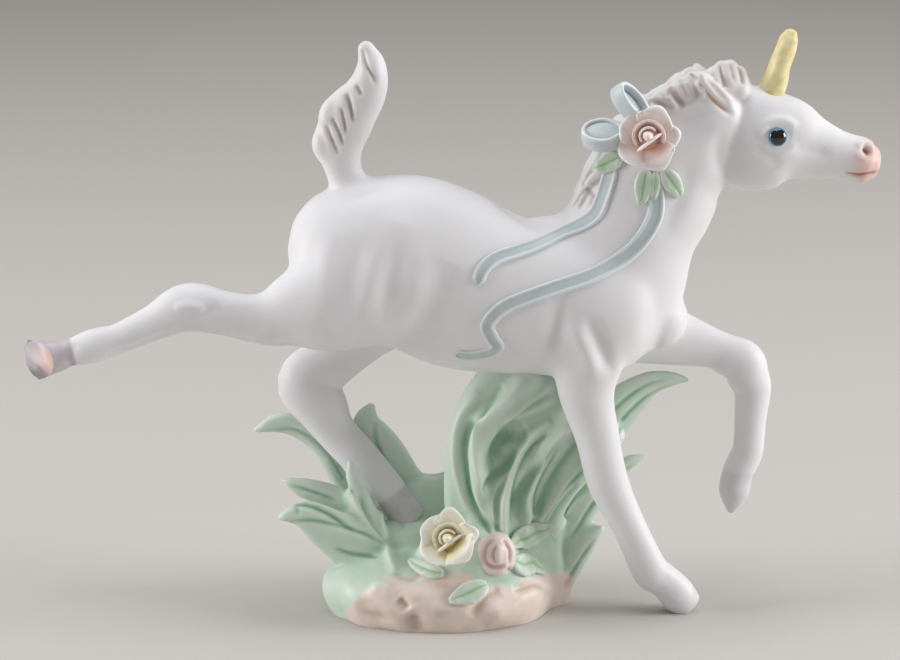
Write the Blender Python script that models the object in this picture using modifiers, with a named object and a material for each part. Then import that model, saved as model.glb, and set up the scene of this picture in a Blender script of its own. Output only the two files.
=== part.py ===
"""Bisque porcelain unicorn foal that gallops over a tuft of grass.

The figurine is built the way it is made. One casting holds the foal, its ribbon, the grass
and the ground. Two roses are made petal by petal and set on it: one on the knot of the
ribbon, one on the ground. Metres, +Z up. The foal faces +X and its right side faces -Y.
The origin is the middle of the flat underside.
"""

import math

import bmesh
import bpy
import numpy as np
from mathutils import Matrix, Vector
from mathutils.bvhtree import BVHTree

# Overall sizes of the foal, in metres
BARREL_WIDTH = 0.0300
BARREL_DEPTH = 0.0380
HIP_SPREAD = 0.0165
SHOULDER_SPREAD = 0.0150
NECK_WIDTH = 0.0190
HEAD_WIDTH = 0.0145
HORN_LENGTH = 0.0158
HORN_WIDTH = 0.0062
HORN_LEAN = 72.5
EAR_LENGTH = 0.0124
EAR_WIDTH = 0.0048
EAR_HEADING = 136.0
EAR_SPLAY = 0.16
EAR_SPREAD = 0.36
EYE_DIAMETER = 0.0036
TAIL_THICKNESS = 0.0072

# Ribbon, leaves and bow
RIBBON_WIDTH = 0.0034
RIBBON_RISE = 0.0010
BOW_BAND = 0.0036
BOW_SHEET = 0.0018
BOW_SEAT = 0.2
LEAF_LENGTH = 0.0066
LEAF_WIDTH = 0.0038
LEAF_SHEET = 0.0012

# Ground and grass
BASE_LENGTH = 0.0540
BASE_DEPTH = 0.0412
BASE_HEIGHT = 0.0135
BLADE_SHEET = 0.0040
KNOLL_HEIGHT = 0.0210
TUFT_DEPTH = 0.0190
BUD_LENGTH = 0.0108
BUD_WIDTH = 0.0080

# Applied roses
NECK_ROSE_DIAMETER = 0.0142
GROUND_ROSE_DIAMETER = 0.0142
ROSE_CUP = 0.0046
PETAL_COUNT = 5
PETAL_SHEET = 0.0006
BUD_CORE_DIAMETER = 0.0032
SEAT_DIAMETER = 0.0064
SEAT_DEPTH = 0.0050
FIT_GAP = 0.0003

# Fineness of the meshes
CAST_VOXEL = 0.0006
SMOOTH_COUNT = 2
CAST_KEEP = 0.036
ROSE_VOXEL = 0.00028
ROSE_KEEP = 0.065
SIDES = 20
STEPS = 4
RIBBON_STEPS = 3
BOW_STEPS = 24
CAP_ANGLES = (0.5, 1.0, 1.4)

# Trunk from the buttocks to the breast: x, height of the centre, and half depth and half
# width as shares of the barrel's
TRUNK = (
    (-0.0342, 0.0812, 0.14, 0.30),
    (-0.0332, 0.0813, 0.32, 0.50),
    (-0.0310, 0.0816, 0.48, 0.66),
    (-0.0285, 0.0819, 0.59, 0.76),
    (-0.0250, 0.0823, 0.70, 0.86),
    (-0.0200, 0.0820, 0.84, 0.95),
    (-0.0134, 0.0808, 0.97, 1.00),
    (-0.0057, 0.0788, 1.03, 0.98),
    (0.0040, 0.0745, 1.03, 0.96),
    (0.0140, 0.0722, 0.95, 0.98),
    (0.0250, 0.0716, 0.935, 1.00),
    (0.0339, 0.0706, 0.89, 0.98),
    (0.0417, 0.0681, 0.73, 0.82),
    (0.0470, 0.0667, 0.36, 0.42),
)

# Neck from the shoulders to the poll: length of each stretch, heading, half depth at its
# middle and at its end
NECK_START = (0.0330, 0.0, 0.0700)
NECK_START_DEPTH = 0.0170
NECK = (
    (0.0190, 65.7, 0.0168, 0.0147),
    (0.0151, 62.4, 0.0147, 0.0139),
    (0.0150, 47.7, 0.0121, 0.0090),
)

# The foot and the poll of the neck that the mane, rose, bow, leaves and streamers were
# drawn on, and the heights between which a place starts to follow the neck
NECK_DRAWN = ((0.0330, 0.0700), (0.05791, 0.11179))
FOLLOW_FROM = 0.0780
FOLLOW_WHOLLY = 0.0900

# Head from the back of the cheek to the lips: forward of the poll, up from it, half height,
# and half width as a share of the head's
HEAD = (
    (0.0000, -0.0018, 0.0085, 0.60),
    (0.0048, -0.0042, 0.0112, 0.92),
    (0.0115, -0.0052, 0.0113, 1.00),
    (0.0168, -0.0056, 0.0095, 0.90),
    (0.0218, -0.0071, 0.0071, 0.68),
    (0.0270, -0.0085, 0.0055, 0.56),
    (0.0308, -0.0093, 0.0050, 0.56),
    (0.0336, -0.0102, 0.0048, 0.54),
    (0.0350, -0.0105, 0.0037, 0.44),
)
HORN_FORWARD = 0.0118
HORN_RISE = 0.0030
EAR_FORWARD = 0.0054
EAR_RISE = 0.0028
EYE_FORWARD = 0.0136
EYE_DROP = 0.0032

# Legs: where each starts, its half depth there, and its stretches as length, heading in
# degrees, half depth at mid stretch and at the lower end
NEAR_HIND_START = (-0.0060, 0.0805, 0.0150)
NEAR_HIND = (
    (0.0226, 202.2, 0.0142, 0.0116),
    (0.0133, 195.7, 0.0087, 0.0060),
    (0.0166, 170.6, 0.0050, 0.0054),
    (0.0164, 204.5, 0.0040, 0.0034),
    (0.0064, 196.4, 0.0036, 0.0038),
    (0.0057, 196.2, 0.0034, 0.0032),
    (0.0092, 192.0, 0.0037, 0.0042),
)
FAR_HIND_START = (-0.0080, 0.0740, 0.0140)
FAR_HIND = (
    (0.0185, 229.0, 0.0105, 0.0068),
    (0.0146, 221.0, 0.0062, 0.0066),
    (0.0131, 300.0, 0.0060, 0.0046),
    (0.0173, 311.2, 0.0044, 0.0039),
    (0.0087, 303.7, 0.0038, 0.0041),
)
NEAR_FORE_START = (0.0318, 0.0735, 0.0110)
NEAR_FORE = (
    (0.0218, 267.5, 0.0092, 0.0063),
    (0.0218, 283.5, 0.0049, 0.0046),
    (0.0225, 295.0, 0.0038, 0.0041),
    (0.0060, 319.0, 0.0039, 0.0039),
    (0.0064, 309.0, 0.0041, 0.0036),
)
FAR_FORE_START = (0.0380, 0.0645, 0.0095)
FAR_FORE = (
    (0.0222, 343.3, 0.0070, 0.0046),
    (0.0077, 336.0, 0.0047, 0.0049),
    (0.0069, 290.3, 0.0048, 0.0042),
    (0.0142, 267.2, 0.0036, 0.0035),
    (0.0067, 249.1, 0.0036, 0.0035),
    (0.0084, 262.5, 0.0034, 0.0011),
)

# Stance of each leg: the spread it goes by, how far it lies from the middle at its top and
# foot as shares of that, its width at the top as a share of its depth, and how round its
# sole is
STANCES = (
    (NEAR_HIND_START, NEAR_HIND, HIP_SPREAD, -0.45, -0.60, 0.56, 0.0),
    (FAR_HIND_START, FAR_HIND, HIP_SPREAD, 0.45, 0.25, 0.58, 0.4),
    (NEAR_FORE_START, NEAR_FORE, SHOULDER_SPREAD, -0.50, -0.25, 0.62, 0.35),
    (FAR_FORE_START, FAR_FORE, SHOULDER_SPREAD, 0.40, 0.55, 0.66, 0.8),
)

# Tail from the dock to the tip: back and up from the dock, and half breadth
TAIL = (
    (0.0030, -0.0080, 0.0038),
    (-0.0004, 0.0005, 0.0042),
    (-0.0021, 0.0055, 0.0043),
    (-0.0024, 0.0100, 0.0052),
    (-0.0014, 0.0140, 0.0057),
    (0.0005, 0.0178, 0.0055),
    (0.0027, 0.0212, 0.0048),
    (0.0041, 0.0250, 0.0040),
    (0.0043, 0.0290, 0.0031),
    (0.0033, 0.0322, 0.0019),
)
DOCK = (-0.0205, 0.0955)
TAIL_LOCKS = (
    ((-0.0215, 0.0985), (-0.0266, 0.1045), (-0.0271, 0.1094), 0.0024),
    ((-0.0205, 0.1040), (-0.0252, 0.1110), (-0.0228, 0.1168), 0.0026),
    ((-0.0180, 0.1080), (-0.0205, 0.1150), (-0.0186, 0.1190), 0.0020),
)

# Locks of the mane from the withers to the poll: root, bend and end as x and height, and
# half breadth
MANE = (
    (0.0345, 0.1010, 0.0290, 0.0960, 0.0258, 0.0900, 0.0026),
    (0.0375, 0.1060, 0.0320, 0.1010, 0.0290, 0.0945, 0.0026),
    (0.0400, 0.1090, 0.0345, 0.1055, 0.0310, 0.1000, 0.0026),
    (0.0430, 0.1115, 0.0385, 0.1095, 0.0340, 0.1045, 0.0028),
    (0.0470, 0.1130, 0.0425, 0.1133, 0.0385, 0.1096, 0.0027),
    (0.0505, 0.1138, 0.0480, 0.1156, 0.0435, 0.1132, 0.0025),
    (0.0545, 0.1152, 0.0515, 0.1176, 0.0475, 0.1156, 0.0024),
    (0.0575, 0.1165, 0.0550, 0.1192, 0.0510, 0.1178, 0.0021),
)
MANE_SPREAD = 0.0062
FORELOCK = (
    (0.0580, 0.1140, 0.0584, 0.1226),
    (0.0600, 0.1135, 0.0604, 0.1245),
    (0.0624, 0.1130, 0.0627, 0.1245),
    (0.0642, 0.1125, 0.0646, 0.1226),
)
FORELOCK_LOCK = 0.0021

# Streamers of the ribbon as x and height on the foal's right side
UPPER_STREAMER = (
    (0.0360, 0.1020), (0.0338, 0.0948), (0.0318, 0.0911), (0.0273, 0.0882), (0.0215, 0.0859),
    (0.0159, 0.0842), (0.0109, 0.0829), (0.0080, 0.0806), (0.0068, 0.0776),
)
LOWER_STREAMER = (
    (0.0445, 0.1020), (0.0453, 0.0937), (0.0440, 0.0893), (0.0408, 0.0849), (0.0366, 0.0817),
    (0.0309, 0.0791), (0.0238, 0.0769), (0.0174, 0.0747), (0.0124, 0.0725), (0.0091, 0.0688),
    (0.0099, 0.0658), (0.0112, 0.0633), (0.0091, 0.0616), (0.0052, 0.0609), (0.0022, 0.0612),
)
NECK_ROSE = (0.0440, 0.1071)
NECK_ROSE_TILT = 12.0
GROUND_ROSE = (0.0014, 0.0176)
GROUND_ROSE_TILT = 24.0

# Loops of the bow: middle as x and height, the way out from the knot, the axis each is
# rolled about, and the half sizes of its oval
BOW_LOOPS = (
    ((0.0396, 0.1160), (-0.66, 0.0, 0.75), (0.60, -0.48, 0.64), 0.0042, 0.0023),
    ((0.0338, 0.1090), (-1.0, 0.0, 0.10), (-0.12, -0.50, 0.86), 0.0040, 0.0026),
)
NECK_LEAVES = ((0.0370, 0.1042, 212.0), (0.0424, 0.1012, 262.0), (0.0470, 0.1020, 300.0))
GROUND_LEAVES = (
    (0.0086, 0.0108, 200.0), (0.0160, 0.0160, 24.0), (0.0165, 0.0138, 322.0), (-0.0020, 0.0138, 172.0),
)
ROSEBUD = (0.0114, 0.0158)

# Blades of grass: x and height along each, then its half breadth at the root and near the
# tip, and how far it lies behind the middle
BLADES = (
    ((-0.0105, 0.0049), (-0.0205, 0.0240), (-0.0280, 0.0362), (-0.0340, 0.0420), (-0.0385, 0.0424),
     (-0.0425, 0.0406), 0.0040, 0.0020, 0.0080),
    ((-0.0138, 0.0076), (-0.0216, 0.0194), (-0.0283, 0.0253), (-0.0358, 0.0281), 0.0042, 0.0021, 0.0020),
    ((-0.0148, 0.0061), (-0.0225, 0.0143), (-0.0292, 0.0197), (-0.0362, 0.0207), 0.0050, 0.0021, -0.0030),
    ((-0.0040, 0.0053), (-0.0077, 0.0172), (-0.0112, 0.0280), (-0.0142, 0.0370), (-0.0162, 0.0440),
     0.0064, 0.0032, 0.0090),
    ((-0.0092, 0.0077), (-0.0148, 0.0160), (-0.0188, 0.0255), (-0.0207, 0.0340), 0.0036, 0.0014, 0.0000),
    ((0.0258, 0.0226), (0.0324, 0.0343), (0.0390, 0.0437), (0.0457, 0.0490), (0.0536, 0.0505),
     0.0052, 0.0026, 0.0065),
    ((0.0246, 0.0049), (0.0268, 0.0132), (0.0313, 0.0214), (0.0368, 0.0285), (0.0448, 0.0333),
     0.0036, 0.0019, 0.0045),
    ((0.0230, 0.0005), (0.0280, 0.0088), (0.0322, 0.0145), (0.0352, 0.0172), 0.0034, 0.0019, 0.0020),
)
TUFT_RIDGES = (
    ((0.0077, 0.0047), (0.0036, 0.0177), (0.0030, 0.0340), (0.0056, 0.0465), (0.0120, 0.0560),
     0.0021, -0.0030),
    ((0.0103, 0.0060), (0.0080, 0.0190), (0.0068, 0.0320), (0.0100, 0.0440), (0.0181, 0.0540),
     0.0021, -0.0050),
    ((0.0122, 0.0052), (0.0105, 0.0147), (0.0112, 0.0290), (0.0165, 0.0390), (0.0254, 0.0500),
     0.0020, -0.0020),
    ((0.0147, 0.0087), (0.0130, 0.0193), (0.0155, 0.0290), (0.0226, 0.0380), (0.0300, 0.0480),
     0.0020, -0.0045),
    ((0.0177, 0.0077), (0.0170, 0.0183), (0.0199, 0.0265), (0.0260, 0.0350), (0.0330, 0.0440),
     0.0020, -0.0025),
    ((0.0212, 0.0071), (0.0215, 0.0177), (0.0250, 0.0255), (0.0300, 0.0320), (0.0370, 0.0400),
     0.0021, 0.0000),
)

# Hearts that the grass grows from, under the belly, behind the planted hoof, below it and
# between the tufts: x, height and half breadth up each, how far it lies behind the middle
# as a share of the tuft's depth, and its half depth as such a share
TUFT_HEARTS = (
    (((0.0135, 0.0030, 0.0135), (0.0140, 0.0200, 0.0120), (0.0180, 0.0360, 0.0125),
      (0.0228, 0.0520, 0.0130)), 0.10, 0.38),
    (((-0.0105, 0.0030, 0.0108), (-0.0130, 0.0140, 0.0092), (-0.0148, 0.0250, 0.0060)), 0.56, 0.28),
    (((-0.0090, 0.0020, 0.0130), (-0.0095, 0.0100, 0.0115), (-0.0100, 0.0165, 0.0080)), 0.14, 0.42),
    (((-0.0080, 0.0200, 0.0080), (0.0010, 0.0205, 0.0080), (0.0080, 0.0250, 0.0080)), 0.50, 0.26),
)


def clear_scene():
    """Remove whatever objects the open file holds."""
    for thing in list(bpy.data.objects):
        bpy.data.objects.remove(thing)


def collection(name):
    """A collection of the scene by its name, made if it isn't there."""
    group = bpy.data.collections.get(name)
    if group is None:
        group = bpy.data.collections.new(name)
        bpy.context.scene.collection.children.link(group)
    return group


def finish(name, colour, roughness):
    """A Principled material with no metal in it."""
    material = bpy.data.materials.new(name)
    material.use_nodes = True
    shader = material.node_tree.nodes["Principled BSDF"]
    shader.inputs["Base Color"].default_value = (*colour, 1.0)
    shader.inputs["Roughness"].default_value = roughness
    shader.inputs["Metallic"].default_value = 0.0
    return material


def between(rows, steps):
    """Rows of numbers with a Catmull-Rom curve run through them, steps to each stretch."""
    rows = np.asarray(rows, float)
    ends = np.vstack([2 * rows[0] - rows[1], rows, 2 * rows[-1] - rows[-2]])
    out = []
    for i in range(len(rows) - 1):
        before, start, end, after = ends[i:i + 4]
        for t in np.arange(steps) / steps:
            out.append(0.5 * (2 * start + (end - before) * t
                              + (2 * before - 5 * start + 4 * end - after) * t ** 2
                              + (3 * start - before - 3 * end + after) * t ** 3))
    out.append(rows[-1])
    return np.array(out)


def skin(rings):
    """Vertices and faces of a closed tube over equal rings, each end closed by a fan."""
    count = len(rings[0])
    verts = [tuple(p) for ring in rings for p in ring]
    faces = []
    for k in range(len(rings) - 1):
        for i in range(count):
            j = (i + 1) % count
            faces.append((k * count + i, k * count + j, (k + 1) * count + j, (k + 1) * count + i))
    for k, turn in ((0, 1), (len(rings) - 1, 0)):
        middle = len(verts)
        verts.append(tuple(np.mean(rings[k], axis=0)))
        for i in range(count):
            j = (i + 1) % count
            edge = (k * count + i, k * count + j)
            faces.append((middle, edge[turn], edge[1 - turn]))
    return verts, faces


def sweep(points, depths, widths, across=(0.0, 1.0, 0.0), ends=(1.0, 1.0)):
    """A closed tube along points with an elliptic section.

    The half widths lie along the across vector, the half depths square to it and to the
    path. Each end is rounded by that share of its smaller half size, or flat at 0.
    """
    points = np.asarray(points, float)
    across = np.broadcast_to(np.asarray(across, float), points.shape)
    tangent = np.gradient(points, axis=0)
    tangent /= np.linalg.norm(tangent, axis=1)[:, None]
    side = across - tangent * (across * tangent).sum(1)[:, None]
    side /= np.linalg.norm(side, axis=1)[:, None]
    depth = np.cross(side, tangent)
    angle = np.arange(SIDES) * 2 * math.pi / SIDES

    def ring(k, shrink, shift):
        centre = points[k] + tangent[k] * shift
        return (centre + np.outer(np.cos(angle), depth[k]) * depths[k] * shrink
                + np.outer(np.sin(angle), side[k]) * widths[k] * shrink)

    rings = [ring(k, 1.0, 0.0) for k in range(len(points))]
    for end, k, way in ((ends[0], 0, -1), (ends[1], len(points) - 1, 1)):
        reach = end * min(depths[k], widths[k])
        caps = [ring(k, math.cos(a), way * reach * math.sin(a)) for a in CAP_ANGLES]
        if reach > 0 and way < 0:
            rings = caps[::-1] + rings
        elif reach > 0:
            rings = rings + caps
    return skin(rings)


def ball(centre, radii, turn=0.0):
    """An ellipsoid from a sphere primitive, turned about Y."""
    bm = bmesh.new()
    place = (Matrix.Translation(Vector(centre)) @ Matrix.Rotation(turn, 4, "Y")
             @ Matrix.Diagonal((*radii, 1.0)))
    bmesh.ops.create_uvsphere(bm, u_segments=24, v_segments=14, radius=1.0, matrix=place)
    verts = [tuple(v.co) for v in bm.verts]
    faces = [tuple(v.index for v in f.verts) for f in bm.faces]
    bm.free()
    return verts, faces


def join(forms):
    """One list of vertices and faces from several."""
    verts = []
    faces = []
    for some_verts, some_faces in forms:
        first = len(verts)
        verts.extend(some_verts)
        faces.extend(tuple(i + first for i in face) for face in some_faces)
    return verts, faces


def trunk():
    """The barrel with the croup and the breast."""
    rows = between(TRUNK, STEPS)
    points = np.stack([rows[:, 0], rows[:, 0] * 0, rows[:, 1]], 1)
    return sweep(points, rows[:, 2] * BARREL_DEPTH / 2, rows[:, 3] * BARREL_WIDTH / 2, ends=(0.3, 1.0))


def chain(start, stretches):
    """Points and half depths down a chain of stretches, with one point in mid stretch."""
    x, z, depth = start
    rows = [(x, z, depth)]
    for length, heading, middle, end in stretches:
        way = math.radians(heading)
        rows.append((x + length / 2 * math.cos(way), z + length / 2 * math.sin(way), middle))
        x += length * math.cos(way)
        z += length * math.sin(way)
        rows.append((x, z, end))
    return rows


def leg(start, stretches, y_top, y_foot, slim_top, sole):
    """A leg, slim from side to side at the top and nearly round below."""
    rows = between(chain(start, stretches), STEPS)
    down = np.linspace(0.0, 1.0, len(rows))
    early = np.clip(down * 2.2, 0.0, 1.0)
    y = y_top + (y_foot - y_top) * down
    points = np.stack([rows[:, 0], y, rows[:, 1]], 1)
    slim = slim_top + (0.86 - slim_top) * early
    return sweep(points, rows[:, 2], rows[:, 2] * slim, ends=(0.6, sole))


def legs():
    """The four legs: kicked back, planted in the grass, on the table, and raised."""
    return [leg(start, stretches, spread * top, spread * foot, slim, sole)
            for start, stretches, spread, top, foot, slim, sole in STANCES]


def poll():
    """The top end of the neck, which the head, ears and forelock follow."""
    x, z, _ = chain((NECK_START[0], NECK_START[2], 0.0), NECK)[-1]
    return x, z


def with_neck(x, z):
    """A place drawn on the neck, moved as the ends of the neck are when they change."""
    (foot_x, foot_z), (top_x, top_z) = NECK_DRAWN
    poll_x, poll_z = poll()
    up = min(max((z - foot_z) / (top_z - foot_z), 0.0), 1.0)
    share = min(max((z - FOLLOW_FROM) / (FOLLOW_WHOLLY - FOLLOW_FROM), 0.0), 1.0)
    right = (1 - up) * (NECK_START[0] - foot_x) + up * (poll_x - top_x)
    rise = (1 - up) * (NECK_START[2] - foot_z) + up * (poll_z - top_z)
    return x + share * right, z + share * rise


def neck():
    """The neck, thin from side to side at the crest."""
    rows = between(chain((NECK_START[0], NECK_START[2], NECK_START_DEPTH), NECK), STEPS)
    points = np.stack([rows[:, 0], rows[:, 0] * 0, rows[:, 1]], 1)
    taper = np.linspace(1.25, 0.84, len(rows))
    return sweep(points, rows[:, 2], taper * NECK_WIDTH / 2)


def head():
    """The head from the cheek to the lips, with upright sections."""
    x, z = poll()
    rows = between(HEAD, STEPS)
    points = np.stack([x + rows[:, 0], rows[:, 0] * 0, z + rows[:, 1]], 1)
    return sweep(points, rows[:, 2], rows[:, 3] * HEAD_WIDTH / 2, ends=(0.8, 0.5))


def horn():
    """The blunt horn, from inside the forehead to its tip."""
    x, z = poll()
    way = math.radians(HORN_LEAN)
    along = np.array([-0.30, 0.0, 0.25, 0.5, 0.75, 1.0]) * HORN_LENGTH
    foot = np.array([x + HORN_FORWARD, 0.0, z + HORN_RISE])
    points = foot + np.outer(along, (math.cos(way), 0.0, math.sin(way)))
    half = HORN_WIDTH / 2 * np.array([1.05, 1.0, 0.92, 0.80, 0.72, 0.56])
    return sweep(points, half, half, ends=(1.0, 0.7))


def ears():
    """Two ears laid back along the poll."""
    x, z = poll()
    way = math.radians(EAR_HEADING)
    along = np.array([-0.15, 0.15, 0.45, 0.75, 1.0]) * EAR_LENGTH
    half = EAR_WIDTH / 2 * np.array([0.7, 0.95, 1.0, 0.7, 0.25])
    forms = []
    for side in (-1.0, 1.0):
        root = np.array([x + EAR_FORWARD, side * HEAD_WIDTH * EAR_SPREAD, z + EAR_RISE])
        points = root + np.outer(along, (math.cos(way), -side * EAR_SPLAY, math.sin(way)))
        forms.append(sweep(points, half, half * 0.55))
    return forms


def eyes():
    """The two eyeballs, set in the sides of the head."""
    x, z = poll()
    half = EYE_DIAMETER / 2
    out = HEAD_WIDTH / 2 * 0.96
    return [ball((x + EYE_FORWARD, y, z - EYE_DROP), (half, half * 0.6, half)) for y in (-out, out)]


def tail():
    """The raised tail, a flame with three locks at its back."""
    rows = between(TAIL, STEPS)
    points = np.stack([DOCK[0] + rows[:, 0], rows[:, 0] * 0, DOCK[1] + rows[:, 1]], 1)
    flat = np.minimum(rows[:, 2], TAIL_THICKNESS / 2)
    forms = [sweep(points, rows[:, 2], flat)]
    for *path, half in TAIL_LOCKS:
        forms.append(lock(path, half, TAIL_THICKNESS * 0.4, 0.0))
    return forms


def lock(path, half, sheet, y):
    """A lock of hair that thins to both ends."""
    rows = between(path, STEPS)
    along = np.linspace(0.0, 1.0, len(rows))
    swell = 0.35 + 0.65 * np.sin(math.pi * (0.15 + 0.8 * along))
    points = np.stack([rows[:, 0], rows[:, 0] * 0 + y, rows[:, 1]], 1)
    return sweep(points, half * swell, sheet * swell)


def mane():
    """Locks on both sides of the crest, and the forelock between the ears."""
    forms = []
    for x1, z1, x2, z2, x3, z3, half in MANE:
        path = (with_neck(x1, z1), with_neck(x2, z2), with_neck(x3, z3))
        for y in (-MANE_SPREAD / 2, MANE_SPREAD / 2):
            forms.append(lock(path, half, half, y))
    for x1, z1, x2, z2 in FORELOCK:
        path = (with_neck(x1, z1), with_neck((x1 + x2) / 2, (z1 + z2) / 2), with_neck(x2, z2))
        forms.append(lock(path, FORELOCK_LOCK, FORELOCK_LOCK * 2.6, 0.0))
    return forms


def ground():
    """The rounded pad of earth, swept upwards and widest a little above its foot."""
    share = ((-0.15, 0.90), (0.05, 0.95), (0.30, 1.0), (0.55, 0.99), (0.78, 0.88), (1.0, 0.58))
    rows = between(share, STEPS)
    points = np.stack([rows[:, 0] * 0, rows[:, 0] * 0, rows[:, 0] * BASE_HEIGHT], 1)
    return sweep(points, rows[:, 1] * BASE_LENGTH / 2, rows[:, 1] * BASE_DEPTH / 2, ends=(0.0, 0.1))


def blade(path, root, tip, y):
    """A blade of grass from the ground to its blunt tip."""
    rows = between(path, STEPS)
    along = np.linspace(0.0, 1.0, len(rows))
    points = np.stack([rows[:, 0], rows[:, 0] * 0 + y, rows[:, 1]], 1)
    half = root + (tip - root) * along
    half[-3:] *= (0.92, 0.78, 0.55)
    return sweep(points, half, np.minimum(BLADE_SHEET / 2 * (1.35 - 0.6 * along), half))


def grass():
    """Loose blades, the ridged tuft under the belly and the hearts they grow from."""
    forms = []
    for *path, root, tip, y in BLADES:
        forms.append(blade(path, root, tip, y))
    for *path, half, y in TUFT_RIDGES:
        rows = between(path, STEPS)
        points = np.stack([rows[:, 0], rows[:, 0] * 0 + y, rows[:, 1]], 1)
        forms.append(sweep(points, np.full(len(rows), half * 1.2), np.full(len(rows), half * 1.7)))
    for rows, behind, share in TUFT_HEARTS:
        rows = between(rows, STEPS)
        points = np.stack([rows[:, 0], rows[:, 0] * 0 + TUFT_DEPTH * behind, rows[:, 1]], 1)
        spread = np.linspace(share * 1.15, share * 0.8, len(rows))
        forms.append(sweep(points, rows[:, 2], TUFT_DEPTH * spread))
    return forms


def new_mesh(name, form):
    """A mesh from vertices and faces."""
    mesh = bpy.data.meshes.new(name)
    mesh.from_pydata(form[0], [], form[1])
    mesh.validate()
    return mesh


def feel(form):
    """A tree of the form's faces, for finding where its surface lies."""
    return BVHTree.FromPolygons([Vector(v) for v in form[0]], form[1])


def on_skin(tree, x, z, rise=0.0):
    """The near side of a surface at x and height z, and the way it faces."""
    place, normal, _, _ = tree.ray_cast(Vector((x, -0.1, z)), Vector((0.0, 1.0, 0.0)))
    if place is None:
        place, normal, _, _ = tree.find_nearest(Vector((x, -0.02, z)))
    if normal.y > 0:
        normal = -normal
    return np.array(place + normal * rise), np.array(normal)


def streamer(tree, path):
    """A ribbon laid on the foal's side, a little proud of it."""
    rows = between([with_neck(x, z) for x, z in path], RIBBON_STEPS)
    spots = [on_skin(tree, x, z) for x, z in rows]
    points = np.array([spot[0] for spot in spots])
    facing = np.array([spot[1] for spot in spots])
    along = np.linspace(0.0, 1.0, len(points))
    half = RIBBON_WIDTH / 2 * (1.0 - 0.25 * along)
    return sweep(points, half, np.full(len(points), RIBBON_RISE), across=facing)


def bow_loop(tree, centre, out, axis, long_half, deep_half):
    """One loop of the bow: a band rolled about an axis, with its inside closed by a web."""
    knot, _ = on_skin(tree, *with_neck(*NECK_ROSE))
    x, z = with_neck(*centre)
    middle = np.array([x, knot[1] + BOW_BAND * BOW_SEAT, z])
    axis = np.array(axis) / np.linalg.norm(axis)
    out = np.array(out) - axis * np.dot(out, axis)
    out /= np.linalg.norm(out)
    deep = np.cross(axis, out)
    turn = np.linspace(0.0, 2 * math.pi, BOW_STEPS + 1)
    points = middle + np.outer(np.cos(turn), out) * long_half + np.outer(np.sin(turn), deep) * deep_half
    thick = np.full(len(turn), BOW_SHEET / 2)
    band = sweep(points, thick, np.full(len(turn), BOW_BAND / 2), across=axis, ends=(0.0, 0.0))
    along = np.array([-0.9, -0.5, 0.0, 0.5, 0.9])
    back = middle - axis * BOW_BAND * BOW_SEAT + np.outer(along * long_half, out)
    web = sweep(back, deep_half * np.sqrt(1.0 - along ** 2), thick[:len(along)], across=axis)
    return [band, web]


def leaf(tree, x, z, heading):
    """A pointed leaf that lies on the surface behind it, with a raised back."""
    way = math.radians(heading)
    along = np.linspace(0.0, 1.0, 7) * LEAF_LENGTH
    spots = [on_skin(tree, x + s * math.cos(way), z + s * math.sin(way)) for s in along]
    points = np.array([spot[0] for spot in spots])
    facing = np.array([spot[1] for spot in spots])
    half = LEAF_WIDTH / 2 * np.array([0.45, 0.85, 1.0, 0.98, 0.8, 0.5, 0.15])
    sheet = LEAF_SHEET * np.array([0.8, 1.0, 1.0, 1.0, 0.9, 0.7, 0.4])
    return sweep(points, half, sheet, across=facing)


def seat(tree, x, z, tilt):
    """Place and axis of a rose: its foot stands off the surface by the seat's depth."""
    place, _ = on_skin(tree, x, z)
    axis = Vector((-0.10, -math.cos(math.radians(tilt)), math.sin(math.radians(tilt)))).normalized()
    return Vector(place) + axis * SEAT_DEPTH * 0.3, axis


def seat_pad(place, axis):
    """The pad that carries a rose, with a flat face towards it."""
    points = [np.array(place - axis * SEAT_DEPTH * s) for s in (1.0, 0.6, 0.3, 0.0)]
    half = SEAT_DIAMETER / 2 * np.array([1.25, 1.2, 1.1, 1.0])
    return sweep(points, half, half, across=(0.0, 0.3, 1.0), ends=(0.5, 0.0))


def knoll():
    """The swelling at the front of the ground that carries the rose and the bud."""
    half = KNOLL_HEIGHT / 2
    return ball((0.0045, -BASE_DEPTH * 0.215, half), (0.0135, BASE_DEPTH * 0.185, half))


def rosebud(tree):
    """The moulded rosebud on the ground: a bud in three outer petals."""
    x, z = ROSEBUD
    y = on_skin(tree, x, z)[0][1]
    half = BUD_WIDTH / 2
    tall = BUD_LENGTH / 2
    return [
        ball((x, y, z), (half * 0.82, half * 0.95, tall)),
        ball((x - half * 0.30, y - 0.0006, z - tall * 0.12), (half * 0.74, half * 0.92, tall * 0.84)),
        ball((x + half * 0.30, y - 0.0003, z - tall * 0.20), (half * 0.74, half * 0.88, tall * 0.78)),
        ball((x, y - 0.0010, z - tall * 0.42), (half * 0.66, half * 0.86, tall * 0.52)),
    ]


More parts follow.
